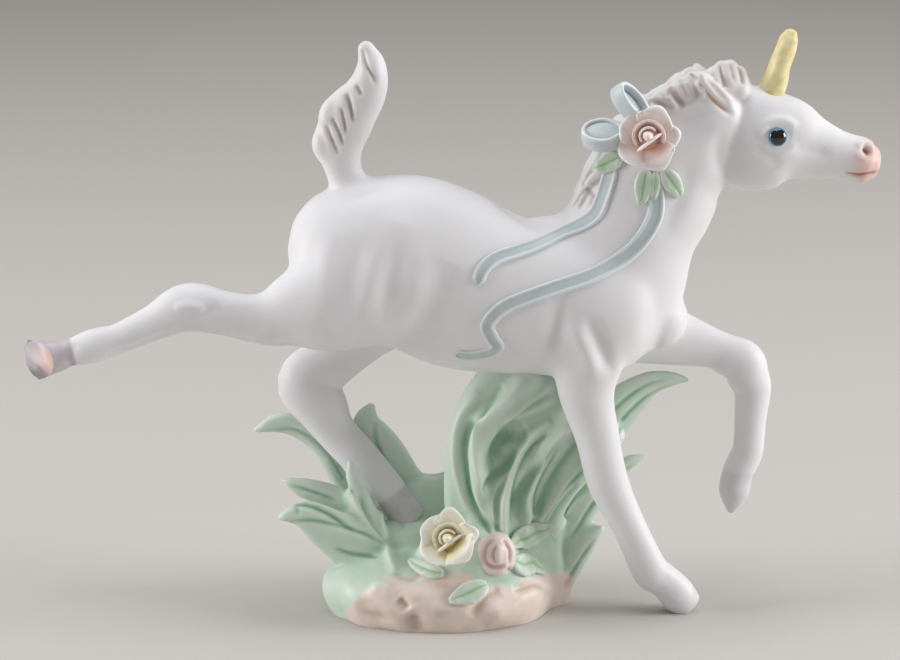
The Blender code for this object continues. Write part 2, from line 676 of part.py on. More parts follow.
def petal(radius, lift, turn, breadth, curl):
    """One petal as a thin closed sheet: it rises from the heart and rolls out at its rim."""
    across_steps = np.linspace(-1.0, 1.0, 13)
    along_steps = np.linspace(0.0, 1.0, 11)
    s, t = np.meshgrid(along_steps, across_steps, indexing="ij")
    spread = breadth * (0.35 + 0.65 * np.sin(math.pi * (0.12 + 0.62 * s)))
    tip = np.sqrt(np.clip(1.0 - 0.35 * np.abs(t) ** 3, 0.0, 1.0))
    reach = radius * (0.14 + 0.86 * s) * tip
    angle = turn + spread * t
    height = lift * (s ** 0.75) * (1.0 - curl * s ** 3) + lift * 0.18 * (t ** 2) * s
    face = np.stack([reach * np.cos(angle), reach * np.sin(angle), height], -1)
    across = np.gradient(face, axis=1)
    along = np.gradient(face, axis=0)
    normal = np.cross(along, across)
    normal /= np.linalg.norm(normal, axis=-1)[..., None]
    thick = PETAL_SHEET / 2
    rings = []
    for k in range(len(along_steps)):
        upper = face[k] + normal[k] * thick
        lower = face[k] - normal[k] * thick
        rings.append(np.vstack([upper, lower[::-1]]))
    return skin(rings)


def wrap(radius, height, start, sweep_angle, flare):
    """An inner petal rolled round the bud as a part of a cone's wall."""
    angle = start + np.linspace(0.0, sweep_angle, 17)
    rings = []
    for k in range(len(angle)):
        out = np.array([math.cos(angle[k]), math.sin(angle[k]), 0.0])
        near_end = min(k, len(angle) - 1 - k) / 4.0
        tall = height * (0.72 + 0.28 * min(near_end, 1.0))
        foot = radius * 0.55
        rim = radius * flare
        half = PETAL_SHEET / 2
        levels = ((0.0, foot), (0.5, (foot + rim) / 2 + radius * 0.12), (1.0, rim))
        outer = [out * (r + half) + np.array([0.0, 0.0, tall * h]) for h, r in levels]
        inner = [out * (r - half) + np.array([0.0, 0.0, tall * h]) for h, r in reversed(levels)]
        rings.append(np.array(outer + inner))
    return skin(rings)


def rose_forms(diameter):
    """A rose about +Z: a foot, five open petals, three rolled ones and the bud."""
    radius = diameter / 2
    forms = []
    for k in range(PETAL_COUNT):
        turn = 2 * math.pi * k / PETAL_COUNT + 0.35
        lift = ROSE_CUP * (0.74 + 0.07 * (k % 2))
        forms.append(petal(radius, lift, turn, 0.88 * math.pi / PETAL_COUNT * 1.18, 0.25))
    core = BUD_CORE_DIAMETER / 2
    forms.append(wrap(core * 1.95, ROSE_CUP * 0.92, 0.4, 3.5, 1.12))
    forms.append(wrap(core * 1.85, ROSE_CUP * 0.88, 3.6, 2.9, 1.10))
    forms.append(wrap(core * 1.25, ROSE_CUP * 1.02, 1.2, 5.0, 1.0))
    heart = [np.array([0.0, 0.0, ROSE_CUP * h]) for h in (0.0, 0.4, 0.8, 1.12)]
    half = core * np.array([0.9, 1.0, 0.85, 0.45])
    forms.append(sweep(heart, half, half, ends=(0.0, 0.8)))
    foot = [np.array([0.0, 0.0, ROSE_CUP * h]) for h in (0.0, 0.12, 0.3)]
    half = SEAT_DIAMETER / 2 * np.array([0.80, 0.80, 0.66])
    forms.append(sweep(foot, half, half, ends=(0.0, 0.3)))
    return forms


def voxel_solid(name, forms, voxel, smoothing, keep, material):
    """One object from overlapping forms: fused by a voxel remesh, softened and thinned."""
    thing = bpy.data.objects.new(name, new_mesh(name, join(forms)))
    collection("unicorn_figurine").objects.link(thing)
    thing.data.materials.append(material)
    fuse = thing.modifiers.new("fuse", "REMESH")
    fuse.mode = "VOXEL"
    fuse.voxel_size = voxel
    fuse.use_smooth_shade = True
    soften = thing.modifiers.new("soften", "SMOOTH")
    soften.factor = 0.5
    soften.iterations = smoothing
    thin = thing.modifiers.new("thin", "DECIMATE")
    thin.ratio = keep
    return thing


def table_cutter():
    """The block below the table, which cuts the flat underside of the base and the hoof."""
    bpy.ops.mesh.primitive_cube_add(size=1.0)
    block = bpy.context.object
    block.name = "table_cut"
    block.data.transform(Matrix.Diagonal((0.3, 0.2, 0.04, 1.0)))
    block.location = (0.0, 0.0, -0.02)
    for group in list(block.users_collection):
        group.objects.unlink(block)
    collection("cutters").objects.link(block)
    block.hide_render = True
    block.display_type = "WIRE"
    return block


def casting(foal, tree, ground_tree, seats):
    """The one-piece casting: foal, grass, ground, ribbon, leaves and rosebud."""
    forms = list(foal)
    forms.extend(grass())
    forms.append(ground())
    forms.append(knoll())
    forms.extend(rosebud(ground_tree))
    forms.append(streamer(tree, UPPER_STREAMER))
    forms.append(streamer(tree, LOWER_STREAMER))
    for loop in BOW_LOOPS:
        forms.extend(bow_loop(tree, *loop))
    for x, z, heading in NECK_LEAVES:
        forms.append(leaf(tree, *with_neck(x, z), heading))
    for x, z, heading in GROUND_LEAVES:
        forms.append(leaf(ground_tree, x, z, heading))
    for place, axis in seats:
        forms.append(seat_pad(place, axis))
    bisque = finish("bisque_porcelain", (0.82, 0.81, 0.82), 0.55)
    solid = voxel_solid("unicorn_on_grass", forms, CAST_VOXEL, SMOOTH_COUNT, CAST_KEEP, bisque)
    cut = solid.modifiers.new("flat_foot", "BOOLEAN")
    cut.operation = "DIFFERENCE"
    cut.object = table_cutter()
    return solid


def rose(name, diameter, place, axis, colour):
    """A rose set on its seat with the fit gap under its foot."""
    solid = voxel_solid(name, rose_forms(diameter), ROSE_VOXEL, 1, ROSE_KEEP,
                        finish(name + "_bisque", colour, 0.5))
    solid.rotation_euler = axis.to_track_quat("Z", "Y").to_euler()
    solid.location = place + axis * FIT_GAP
    return solid


def main():
    clear_scene()
    foal = [trunk(), neck(), head(), horn()] + legs() + ears() + eyes() + tail() + mane()
    tree = feel(join(foal))
    ground_tree = feel(join([ground(), knoll()]))
    neck_seat = seat(tree, *with_neck(*NECK_ROSE), NECK_ROSE_TILT)
    ground_seat = seat(ground_tree, *GROUND_ROSE, GROUND_ROSE_TILT)
    casting(foal, tree, ground_tree, (neck_seat, ground_seat))
    rose("neck_rose", NECK_ROSE_DIAMETER, *neck_seat, (0.86, 0.68, 0.62))
    rose("ground_rose", GROUND_ROSE_DIAMETER, *ground_seat, (0.90, 0.85, 0.66))


main()
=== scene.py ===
# %% [markdown]
# # A bisque porcelain unicorn foal
#
# The real figurine is slip-cast porcelain, fired without a glaze and painted by hand in thin
# washes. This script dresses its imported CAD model. The frame comes first: it holds the
# solids at their real size, and each finer piece made below stands in the place of one.

# %% The frame
import math

import bmesh
import bpy
import numpy as np
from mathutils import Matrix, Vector
from mathutils.bvhtree import BVHTree


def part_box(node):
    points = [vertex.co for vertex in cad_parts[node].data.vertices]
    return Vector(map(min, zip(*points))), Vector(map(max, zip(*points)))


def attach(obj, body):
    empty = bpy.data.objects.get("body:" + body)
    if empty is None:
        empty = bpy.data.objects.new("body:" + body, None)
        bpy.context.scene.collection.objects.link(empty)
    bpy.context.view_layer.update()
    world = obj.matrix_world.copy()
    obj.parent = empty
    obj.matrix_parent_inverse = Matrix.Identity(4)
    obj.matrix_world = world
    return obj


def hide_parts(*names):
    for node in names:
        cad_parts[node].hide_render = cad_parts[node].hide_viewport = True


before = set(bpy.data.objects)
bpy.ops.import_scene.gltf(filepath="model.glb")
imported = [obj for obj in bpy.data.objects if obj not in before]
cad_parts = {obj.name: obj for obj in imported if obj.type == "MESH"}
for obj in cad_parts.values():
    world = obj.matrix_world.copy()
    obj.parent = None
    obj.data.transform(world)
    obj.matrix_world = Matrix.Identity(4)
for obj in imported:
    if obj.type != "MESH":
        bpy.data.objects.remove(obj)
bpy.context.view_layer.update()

MM = 0.001
BODY = "root"
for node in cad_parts:
    low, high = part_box(node)
    print(node, "spans", [round((b - a) / MM, 1) for a, b in zip(low, high)], "mm")

# %% [markdown]
# ## Curves and skins
#
# A modeller thinks of a leg, a lock of hair or a blade of grass as a line with a thickness.
# So nearly every form below is a list of a few points, a smooth curve run through them, and
# an oval carried along that curve. Tables are in millimetres and become metres only when a
# mesh is made. Each form is four arrays: vertices, four-sided faces, triangles, and one
# number for each vertex that a paint layer can read later.

# %% A smooth curve through a few rows of numbers
def smooth(rows, steps=6):
    """Catmull-Rom: between rows b and c, with a before and d after, and t from 0 to 1,
    the value is half of 2b + (c - a)t + (2a - 5b + 4c - d)t^2 + (3b - a - 3c + d)t^3."""
    rows = np.asarray(rows, float)
    ends = np.vstack([2 * rows[0] - rows[1], rows, 2 * rows[-1] - rows[-2]])[:, None]
    a, b, c, d = ends[:-3], ends[1:-2], ends[2:-1], ends[3:]
    t = (np.arange(steps) / steps)[None, :, None]
    out = 0.5 * (2 * b + (c - a) * t + (2 * a - 5 * b + 4 * c - d) * t ** 2
                 + (3 * b - a - 3 * c + d) * t ** 3)
    return np.vstack([out.reshape(-1, rows.shape[1]), rows[-1:]])


def upright(rows, y=0.0):
    """Points (x, y, z) from rows that start with x and z. y is one number or one a row."""
    rows = np.asarray(rows, float)
    return np.stack([rows[:, 0], np.zeros(len(rows)) + y, rows[:, 1]], 1)


# %% A closed tube over rings
SIDES = 40


def tube(rings, tint=None):
    """Faces join ring k to ring k + 1, and a fan to the mean of its points closes each end.
    Point (k, i) is rings[k, i], the same i on every ring."""
    count, sides, _ = rings.shape
    first = np.arange(count - 1)[:, None] * sides + np.arange(sides)
    turned = np.arange(count - 1)[:, None] * sides + (np.arange(sides) + 1) % sides
    quads = np.stack([first, turned, turned + sides, first + sides], -1).reshape(-1, 4)
    verts = np.vstack([rings.reshape(-1, 3), rings[0].mean(0), rings[-1].mean(0)])
    i = np.arange(sides)
    j = (i + 1) % sides
    last = (count - 1) * sides
    foot = np.stack([np.full(sides, count * sides), j, i], 1)
    head = np.stack([np.full(sides, count * sides + 1), last + i, last + j], 1)
    tint = np.zeros((count, sides)) if tint is None else np.broadcast_to(tint, (count, sides))
    marks = np.concatenate([tint.ravel(), [tint[0].mean(), tint[-1].mean()]])
    return verts, quads, np.vstack([foot, head]), marks


def loft(path, depth, width, across=(0.0, 1.0, 0.0), ends=(1.0, 1.0), sides=SIDES):
    """An oval carried along a path: the point at angle a is path + depth cos(a) n
    + width sin(a) s, where s is the across vector made square to the path and n is square
    to both. A round end adds rings that shrink by cos(b) while they move by sin(b) times the
    smaller half size, times its share in ends."""
    path = np.asarray(path, float)
    depth = np.broadcast_to(np.asarray(depth, float), (len(path),))
    width = np.broadcast_to(np.asarray(width, float), (len(path),))
    tangent = np.gradient(path, axis=0)
    tangent /= np.linalg.norm(tangent, axis=1)[:, None]
    side = np.broadcast_to(np.asarray(across, float), path.shape)
    side = side - tangent * (side * tangent).sum(1)[:, None]
    side /= np.linalg.norm(side, axis=1)[:, None]
    normal = np.cross(side, tangent)
    bend = np.radians([82.0, 62.0, 40.0, 20.0])
    picks = [np.arange(len(path))]
    shrink = [np.ones(len(path))]
    shift = [np.zeros(len(path))]
    for end, k, way in ((ends[0], 0, -1.0), (ends[1], len(path) - 1, 1.0)):
        if end == 0:
            continue
        order = bend if way < 0 else bend[::-1]
        at = 0 if way < 0 else len(picks)
        picks.insert(at, np.full(len(bend), k))
        shrink.insert(at, np.cos(order))
        shift.insert(at, way * end * min(depth[k], width[k]) * np.sin(order))
    pick = np.concatenate(picks)
    small = np.concatenate(shrink)
    centre = path[pick] + tangent[pick] * np.concatenate(shift)[:, None]
    angle = np.arange(sides) * 2 * math.pi / sides
    tall = normal[pick][:, None] * (depth[pick] * small)[:, None, None] * np.cos(angle)[:, None]
    wide = side[pick][:, None] * (width[pick] * small)[:, None, None] * np.sin(angle)[:, None]
    return tube(centre[:, None] + tall + wide)


def ball(centre, radii):
    """An ellipsoid: a loft of height along X whose radius is the sine of the polar angle."""
    polar = np.linspace(0.06, math.pi - 0.06, 22)
    path = np.asarray(centre, float) + np.outer(-np.cos(polar), (radii[0], 0.0, 0.0))
    return loft(path, radii[2] * np.sin(polar), radii[1] * np.sin(polar), ends=(0.0, 0.0))


# %% From arrays to a Blender mesh
def new_object(name, forms):
    """Join forms into one mesh in metres. The vertex numbers of each form are moved up by
    how many vertices come before it, and its paint numbers become the attribute tint."""
    before = np.cumsum([0] + [len(form[0]) for form in forms])[:-1]
    verts = np.vstack([form[0] for form in forms]) * MM
    quads = np.vstack([form[1] + n for form, n in zip(forms, before)])
    tris = np.vstack([form[2] + n for form, n in zip(forms, before)])
    mesh = bpy.data.meshes.new(name)
    mesh.vertices.add(len(verts))
    mesh.vertices.foreach_set("co", verts.ravel())
    mesh.loops.add(quads.size + tris.size)
    mesh.loops.foreach_set("vertex_index", np.concatenate([quads.ravel(), tris.ravel()]))
    mesh.polygons.add(len(quads) + len(tris))
    starts = np.concatenate([np.arange(len(quads)) * 4, quads.size + np.arange(len(tris)) * 3])
    mesh.polygons.foreach_set("loop_start", starts)
    mesh.update(calc_edges=True)
    mesh.validate()
    mesh.shade_smooth()
    mesh.attributes.new("tint", "FLOAT", "POINT").data.foreach_set(
        "value", np.concatenate([form[3] for form in forms]))
    thing = bpy.data.objects.new(name, mesh)
    bpy.context.scene.collection.objects.link(thing)
    return thing


def face_out(thing):
    """Turn every face of each closed body outwards."""
    work = bmesh.new()
    work.from_mesh(thing.data)
    bmesh.ops.recalc_face_normals(work, faces=work.faces)
    work.to_mesh(thing.data)
    work.free()
    thing.data.shade_smooth()


def triangles(thing):
    """How many triangles the mesh makes: a face of n corners makes n - 2."""
    mesh = thing.data
    return len(mesh.loops) - 2 * len(mesh.polygons)


# %% [markdown]
# ## Clay: one skin over many forms
#
# A sculptor builds the foal from lumps of wax pressed together and then rubs the joins away.
# A voxel remesh presses them together: it keeps only the outer skin of all the forms. The
# rubbing is a relaxation, which moves each point towards the mean of its neighbours. It is
# strong on the broad trunk and weak on the thin legs, which it would otherwise shrink.

# %% Fusing, relaxing and thinning
def baked(thing):
    """Replace the object's mesh by its evaluated one, and clear its modifiers."""
    graph = bpy.context.evaluated_depsgraph_get()
    mesh = bpy.data.meshes.new_from_object(thing.evaluated_get(graph))
    thing.modifiers.clear()
    thing.data = mesh
    mesh.shade_smooth()


def fuse(name, forms, voxel):
    """One closed skin round all the forms, as square faces of side voxel."""
    thing = new_object(name, forms)
    press = thing.modifiers.new("press together", "REMESH")
    press.mode = "VOXEL"
    press.voxel_size = voxel * MM
    baked(thing)
    return thing


def thin(thing, most):
    """Collapse the edges that matter least until about most triangles are left."""
    ease = thing.modifiers.new("thin", "DECIMATE")
    ease.ratio = min(1.0, most / triangles(thing))
    baked(thing)


def read(thing):
    """The mesh as arrays: places in mm, unit normals, and the two ends of each edge."""
    mesh = thing.data
    place = np.empty(len(mesh.vertices) * 3)
    mesh.vertices.foreach_get("co", place)
    normal = np.empty(len(mesh.vertices) * 3)
    mesh.vertex_normals.foreach_get("vector", normal)
    edges = np.empty(len(mesh.edges) * 2, int)
    mesh.edges.foreach_get("vertices", edges)
    return place.reshape(-1, 3) / MM, normal.reshape(-1, 3), edges.reshape(-1, 2)


def write(thing, place):
    """Put places in mm back into the mesh."""
    thing.data.vertices.foreach_set("co", (place * MM).ravel())
    thing.data.update()


def relax(place, edges, weight, rounds):
    """Each round moves a point by half its weight towards the mean of its neighbours."""
    a, b = edges.T
    count = len(place)
    links = np.maximum(np.bincount(edges.ravel(), minlength=count), 1)[:, None]
    pull = (np.broadcast_to(weight, (count,)) * 0.5)[:, None]
    for _ in range(rounds):
        total = np.stack([np.bincount(a, place[b, k], count) + np.bincount(b, place[a, k], count)
                          for k in range(3)], 1)
        place = place + (total / links - place) * pull
    return place


# %% [markdown]
# ## A sculptor's strokes
#
# Muscles, hair and veins are strokes of a tool. A stroke is a short line drawn on the skin as
# seen from the side, dropped onto it, and pressed in or raised. Its section is a bell curve,
# or a sharp crest with hollow sides where a fold of grass stands up.

# %% Strokes
def touch(tree, x, z, side):
    """Where a line parallel to Y meets the skin, coming from y = side times far away."""
    start = Vector((x * MM, side * 0.1, z * MM))
    hit, _, _, _ = tree.ray_cast(start, Vector((0.0, -side, 0.0)))
    if hit is None:
        hit, _, _, _ = tree.find_nearest(Vector((x * MM, side * 0.012, z * MM)))
    return np.array(hit) / MM


def dense(line, gap):
    """Points at most gap apart along a broken line, by linear interpolation of its length."""
    length = np.concatenate([[0.0], np.cumsum(np.linalg.norm(np.diff(line, axis=0), axis=1))])
    at = np.linspace(0.0, length[-1], int(length[-1] / gap) + 2)
    return np.stack([np.interp(at, length, line[:, k]) for k in range(3)], 1)


def skin_tree(thing):
    """A search tree of the object's faces."""
    return BVHTree.FromObject(thing, bpy.context.evaluated_depsgraph_get())


def stroke_weight(place, line, half, sharp):
    """A bell curve exp(-(d / half)^2) of the distance d to the line, or for a sharp crest
    with hollow sides (1 - d / half)^2. Both fade at the ends of the line, as sin(pi s) on a
    broad soft stroke and as its square root on the others."""
    weight = np.zeros(len(place))
    reach = 2.4 * half
    near = np.flatnonzero(((place > line.min(0) - reach) & (place < line.max(0) + reach)).all(1))
    if len(near) == 0:
        return weight
    gap = np.linalg.norm(place[near][:, None] - line[None], axis=2)
    nearest = gap.argmin(1)
    along = nearest / (len(line) - 1)
    fade = 0.5 if sharp or half < 1.5 else 1.0
    end = np.minimum(1.0, np.maximum(np.sin(math.pi * along), 0.0) ** fade * 1.15)
    off = gap.min(1) / half
    bell = np.clip(1.0 - off, 0.0, 1.0) ** 2 if sharp else np.exp(-off ** 2)
    weight[near] = bell * end
    return weight


def carve(thing, strokes, sharp=False):
    """Apply strokes (x-z points, half width, height, sides) and return how strongly each
    point was touched by the ones that press in. A point moves by height times its weight
    along its normal, as that was before the first stroke."""
    tree = skin_tree(thing)
    place, normal, _ = read(thing)
    moved = np.zeros(len(place))
    pressed = np.zeros(len(place))
    for points, half, height, sides in strokes:
        rows = smooth(points, 8)
        for side in sides:
            line = dense(np.array([touch(tree, x, z, side) for x, z in rows]), min(half * 0.3, 0.4))
            weight = stroke_weight(place, line, half, sharp)
            moved += weight * height
            if height < 0:
                pressed = np.maximum(pressed, weight)
    write(thing, place + normal * moved[:, None])
    return pressed


NEAR = (-1,)
FAR = (1,)
BOTH = (-1, 1)


# %% A flat cut without a tool
def flatten(place, spot, facing):
    """Points beyond the plane through spot are moved back onto it along facing: by
    ((p - spot) . n) n where that product is above 0."""
    facing = np.asarray(facing, float) / np.linalg.norm(facing)
    beyond = np.maximum((place - np.asarray(spot, float)) @ facing, 0.0)
    return place - beyond[:, None] * facing


# %% Paint layers as numbers on the mesh
def lay(thing, name, values):
    """Store one number from 0 to 1 for each vertex, for a material to read by name."""
    layer = thing.data.attributes.new(name, "FLOAT", "POINT")
    layer.data.foreach_set("value", np.clip(values, 0.0, 1.0))


def step(value, low, high):
    """0 below low, 1 above high, and 3t^2 - 2t^3 between them."""
    t = np.clip((value - low) / (high - low), 0.0, 1.0)
    return t * t * (3 - 2 * t)


def hollows(place, normal, edges, rounds, depth):
    """How far the relaxed skin stands above a point, over depth: 1 in a crease, 0 on a
    ridge. Thin paint gathers in just these places. Colour laid by this number is also painted
    shade in the creases and a painted highlight on the ridges."""
    rise = ((relax(place, edges, 1.0, rounds) - place) * normal).sum(1)
    return np.clip(rise / depth, -1.0, 1.0)


# %% [markdown]
# ## The foal's main forms
#
# These are the sizes of the CAD casting: the trunk, the neck and the legs as chains of bones,
# each with a length, a heading and a half depth. The same lines give the fine model the same
# outline. The foal gallops towards +X, and its right side faces -Y.

# %% Trunk
BARREL_WIDTH, BARREL_DEPTH = 30.0, 38.0
TRUNK = (
    (-34.2, 81.2, 0.14, 0.30), (-33.2, 81.3, 0.32, 0.50), (-31.0, 81.6, 0.48, 0.66),
    (-28.5, 81.9, 0.59, 0.76), (-25.0, 82.3, 0.70, 0.86), (-20.0, 82.0, 0.84, 0.95),
    (-13.4, 80.8, 0.97, 1.00), (-5.7, 78.8, 1.03, 0.98), (4.0, 74.5, 1.03, 0.96),
    (14.0, 72.2, 0.95, 0.98), (25.0, 71.6, 0.935, 1.00), (33.9, 70.6, 0.89, 0.98),
    (41.7, 68.1, 0.73, 0.82), (47.0, 66.7, 0.36, 0.42),
)


def trunk():
    """The barrel from the buttocks to the breast."""
    rows = smooth(TRUNK)
    return loft(upright(rows), rows[:, 2] * BARREL_DEPTH / 2, rows[:, 3] * BARREL_WIDTH / 2, ends=(0.3, 1.0))


# %% Bones and legs
def chain(start, stretches):
    """Rows (x, z, half depth) down a chain: each stretch of a length and a heading in degrees
    adds its middle and its end, (length cos, length sin) on from the last."""
    x, z, depth = start
    rows = [(x, z, depth)]
    for length, heading, middle, end in stretches:
        dx = length * math.cos(math.radians(heading))
        dz = length * math.sin(math.radians(heading))
        rows.append((x + dx / 2, z + dz / 2, middle))
        x, z = x + dx, z + dz
        rows.append((x, z, end))
    return rows


HIP_SPREAD, SHOULDER_SPREAD = 16.5, 15.0
NEAR_HIND_START = (-6.0, 80.5, 15.0)
NEAR_HIND = (
    (22.6, 202.2, 14.2, 11.6), (13.3, 195.7, 8.7, 6.0), (16.6, 170.6, 5.0, 5.4), (16.4, 204.5, 4.0, 3.4),
    (6.4, 196.4, 3.6, 3.8), (5.7, 196.2, 3.4, 3.2), (10.0, 192.0, 4.0, 4.9),
)
FAR_HIND_START = (-8.0, 74.0, 14.0)
FAR_HIND = (
    (18.5, 229.0, 10.5, 6.8), (14.6, 221.0, 6.2, 6.6), (13.1, 300.0, 6.0, 4.6), (17.3, 311.2, 4.4, 3.9),
    (8.7, 303.7, 3.8, 4.1),
)
NEAR_FORE_START = (31.8, 73.5, 11.0)
NEAR_FORE = (
    (21.8, 267.5, 9.2, 6.3), (21.8, 283.5, 4.9, 4.6), (22.5, 295.0, 3.8, 4.1), (6.0, 319.0, 3.9, 3.9),
    (6.4, 309.0, 4.1, 3.6),
)
FAR_FORE_START = (38.0, 64.5, 9.5)
FAR_FORE = (
    (22.2, 343.3, 7.0, 4.6), (7.7, 336.0, 4.7, 4.9), (6.9, 290.3, 4.8, 4.2), (14.2, 267.2, 3.6, 3.5),
    (6.7, 249.1, 3.6, 3.5), (8.4, 262.5, 3.4, 1.1),
)


def leg(start, stretches, y_top, y_foot, slim_top, sole):
    """A leg: its width is its depth times a share that rises from slim_top to 0.86."""
    rows = smooth(chain(start, stretches))
    down = np.linspace(0.0, 1.0, len(rows))
    slim = slim_top + (0.86 - slim_top) * np.clip(down * 2.2, 0.0, 1.0)
    path = upright(rows, y_top + (y_foot - y_top) * down)
    return loft(path, rows[:, 2], rows[:, 2] * slim, ends=(0.6, sole))


KICKED_SOLE = (-88.0, -10.0, 59.6)
SOLE_FACING = (-0.68, -0.72, -0.12)


def legs():
    """Kicked back, planted in the grass, standing on the table, and raised."""
    hip, shoulder = HIP_SPREAD / 2, SHOULDER_SPREAD / 2
    return [
        leg(NEAR_HIND_START, NEAR_HIND, -hip * 0.9, -hip * 1.2, 0.56, 0.0),
        leg(FAR_HIND_START, FAR_HIND, hip * 0.9, hip * 0.5, 0.58, 0.4),
        leg(NEAR_FORE_START, NEAR_FORE, -shoulder, -shoulder * 0.5, 0.62, 0.35),
        leg(FAR_FORE_START, FAR_FORE, shoulder * 0.8, shoulder * 1.1, 0.66, 0.8),
    ]


# %% Neck and head
NECK_WIDTH, HEAD_WIDTH = 19.0, 14.5
NECK_START = (33.0, 70.0, 17.0)
NECK = ((19.0, 65.7, 16.8, 14.7), (15.1, 62.4, 14.7, 13.9), (15.0, 47.7, 12.1, 9.0))
HEAD = (
    (0.0, -1.8, 8.5, 0.60), (4.8, -4.2, 11.2, 0.92), (11.5, -5.2, 11.3, 1.00), (16.8, -5.6, 9.5, 0.90),
    (21.8, -7.1, 7.1, 0.70), (27.0, -8.5, 5.5, 0.60), (30.8, -9.3, 5.0, 0.62), (33.6, -10.2, 4.8, 0.60),
    (35.0, -10.5, 3.7, 0.48),
)
POLL = np.array(chain(NECK_START, NECK)[-1][:2])


def neck():
    """The neck, thinner from side to side towards the poll."""
    rows = smooth(chain(NECK_START, NECK))
    taper = np.linspace(1.25, 0.84, len(rows))
    return loft(upright(rows), rows[:, 2], taper * NECK_WIDTH / 2)


def head():
    """The head from the cheek to the lips, in upright sections."""
    rows = smooth(HEAD)
    return loft(upright(rows[:, :2] + POLL), rows[:, 2], rows[:, 3] * HEAD_WIDTH / 2, ends=(0.8, 0.5))


EAR_ROOT, EAR_TIP = (3.4, 1.6), (-3.4, 9.4)
EAR_HALF = 2.4


def ears():
    """Two ears laid back: a slim leaf each, hollow on its outer face after carving."""
    share = np.linspace(0.0, 1.0, 13)
    half = EAR_HALF * np.sin(math.pi * np.clip(0.24 + 0.60 * share, 0, 1)) ** 0.8
    line = POLL + np.outer(1 - share, EAR_ROOT) + np.outer(share, EAR_TIP)
    return [loft(upright(line, side * (HEAD_WIDTH * 0.38 + 0.4 * share)), half, np.minimum(half, 1.5))
            for side in BOTH]


print("The poll is at", POLL.round(1), "mm")

# %% [markdown]
# ## Hair
#
# The tail stands up like a flame. The mane is locks that leave the crest and fall back, and
# between the ears a few upright locks make a bun. A lock thins to both ends.

# %% Locks, tail and mane
def lock(points, half, sheet, y=0.0):
    """A tuft whose half sizes follow 0.35 + 0.65 sin(pi (0.15 + 0.8 s)) along it."""
    rows = smooth(points)
    swell = 0.35 + 0.65 * np.sin(math.pi * (0.15 + 0.8 * np.linspace(0.0, 1.0, len(rows))))
    return loft(upright(rows, y), half * swell, sheet * swell, sides=24)


DOCK = np.array([-20.5, 95.5])
TAIL_SHEET = 3.6
TAIL = (
    (3.0, -8.0, 3.8), (-0.4, 0.5, 4.2), (-2.1, 5.5, 4.3), (-2.4, 10.0, 5.2), (-1.4, 14.0, 5.7),
    (0.5, 17.8, 5.5), (2.7, 20.8, 4.8), (4.1, 24.2, 4.0), (4.3, 27.8, 3.1), (3.3, 30.9, 1.9),
)
TAIL_LOCKS = (
    ((-21.5, 98.5), (-26.6, 104.5), (-27.1, 109.4), 2.4),
    ((-20.5, 104.0), (-25.2, 111.0), (-22.8, 116.8), 2.6),
    ((-18.0, 108.0), (-20.5, 115.0), (-18.6, 119.0), 2.0),
)


def tail():
    """The flame, and the locks that make the lobes of its rear edge."""
    rows = smooth(TAIL)
    forms = [loft(upright(rows[:, :2] + DOCK), rows[:, 2], np.minimum(rows[:, 2], TAIL_SHEET))]
    forms.extend(lock(points, half, TAIL_SHEET * 0.8) for *points, half in TAIL_LOCKS)
    return forms


MANE = (
    ((34.5, 99.0), (30.5, 96.2), (27.2, 90.8), 2.1), ((37.0, 103.0), (32.8, 100.6), (29.6, 96.4), 2.4),
    ((40.0, 106.5), (35.5, 105.0), (32.4, 101.8), 2.5), ((43.0, 109.0), (38.8, 109.5), (35.6, 107.4), 2.6),
    ((46.5, 110.5), (43.4, 113.4), (40.4, 113.0), 2.8), ((50.5, 111.5), (48.2, 115.4), (45.2, 115.9), 3.0),
    ((54.0, 113.0), (51.4, 118.0), (48.9, 118.4), 2.9), ((57.0, 114.5), (55.2, 119.4), (52.8, 121.2), 2.6),
)
MANE_SPREAD = 6.2
FORELOCK = (
    (57.2, 114.0, 57.6, 121.2), (59.2, 113.5, 59.6, 122.6),
    (61.2, 113.0, 61.6, 122.8), (63.2, 112.5, 63.6, 121.4),
)


def hair():
    """Mane locks on both sides of the crest, and the bun between the ears."""
    forms = [lock(points, half, half, side * MANE_SPREAD / 2) for *points, half in MANE for side in BOTH]
    for x1, z1, x2, z2 in FORELOCK:
        forms.append(lock(((x1, z1), ((x1 + x2) / 2, (z1 + z2) / 2), (x2, z2)), 3.2, 4.4))
    return forms


# %% The foal in one skin
FOAL_VOXEL = 0.45
FOAL_TRIANGLES = 188000
foal = fuse("foal", [trunk(), neck(), head()] + legs() + ears() + tail() + hair(), FOAL_VOXEL)
place, normal, edges = read(foal)
x, y, z = place.T
broad = np.clip(1.7 - ((x - 3.0) / 42.0) ** 2 - ((z - 79.0) / 23.0) ** 2, 0.0, 1.0)
throat = np.clip(1.4 - np.hypot(x - 44.0, z - 95.0) / 15.0, 0.0, 1.0) * step(z - 0.8 * x, 45.0, 66.0)
weight = np.maximum(broad, throat * 0.5)
place = relax(place, edges, weight, 110)
place = relax(place, edges, 0.8, 5)
write(foal, place)
print("foal skin:", len(place), "points")

# %% [markdown]
# ## Muscles, face and hair grooves
#
# The haunch has two long grooves and a hollow in front of it, the forearm starts with a ridge
# and a crease, and the hair is scored. Broad strokes come first, and the fine ones after
# them are also remembered, because brown paint is drawn along them.

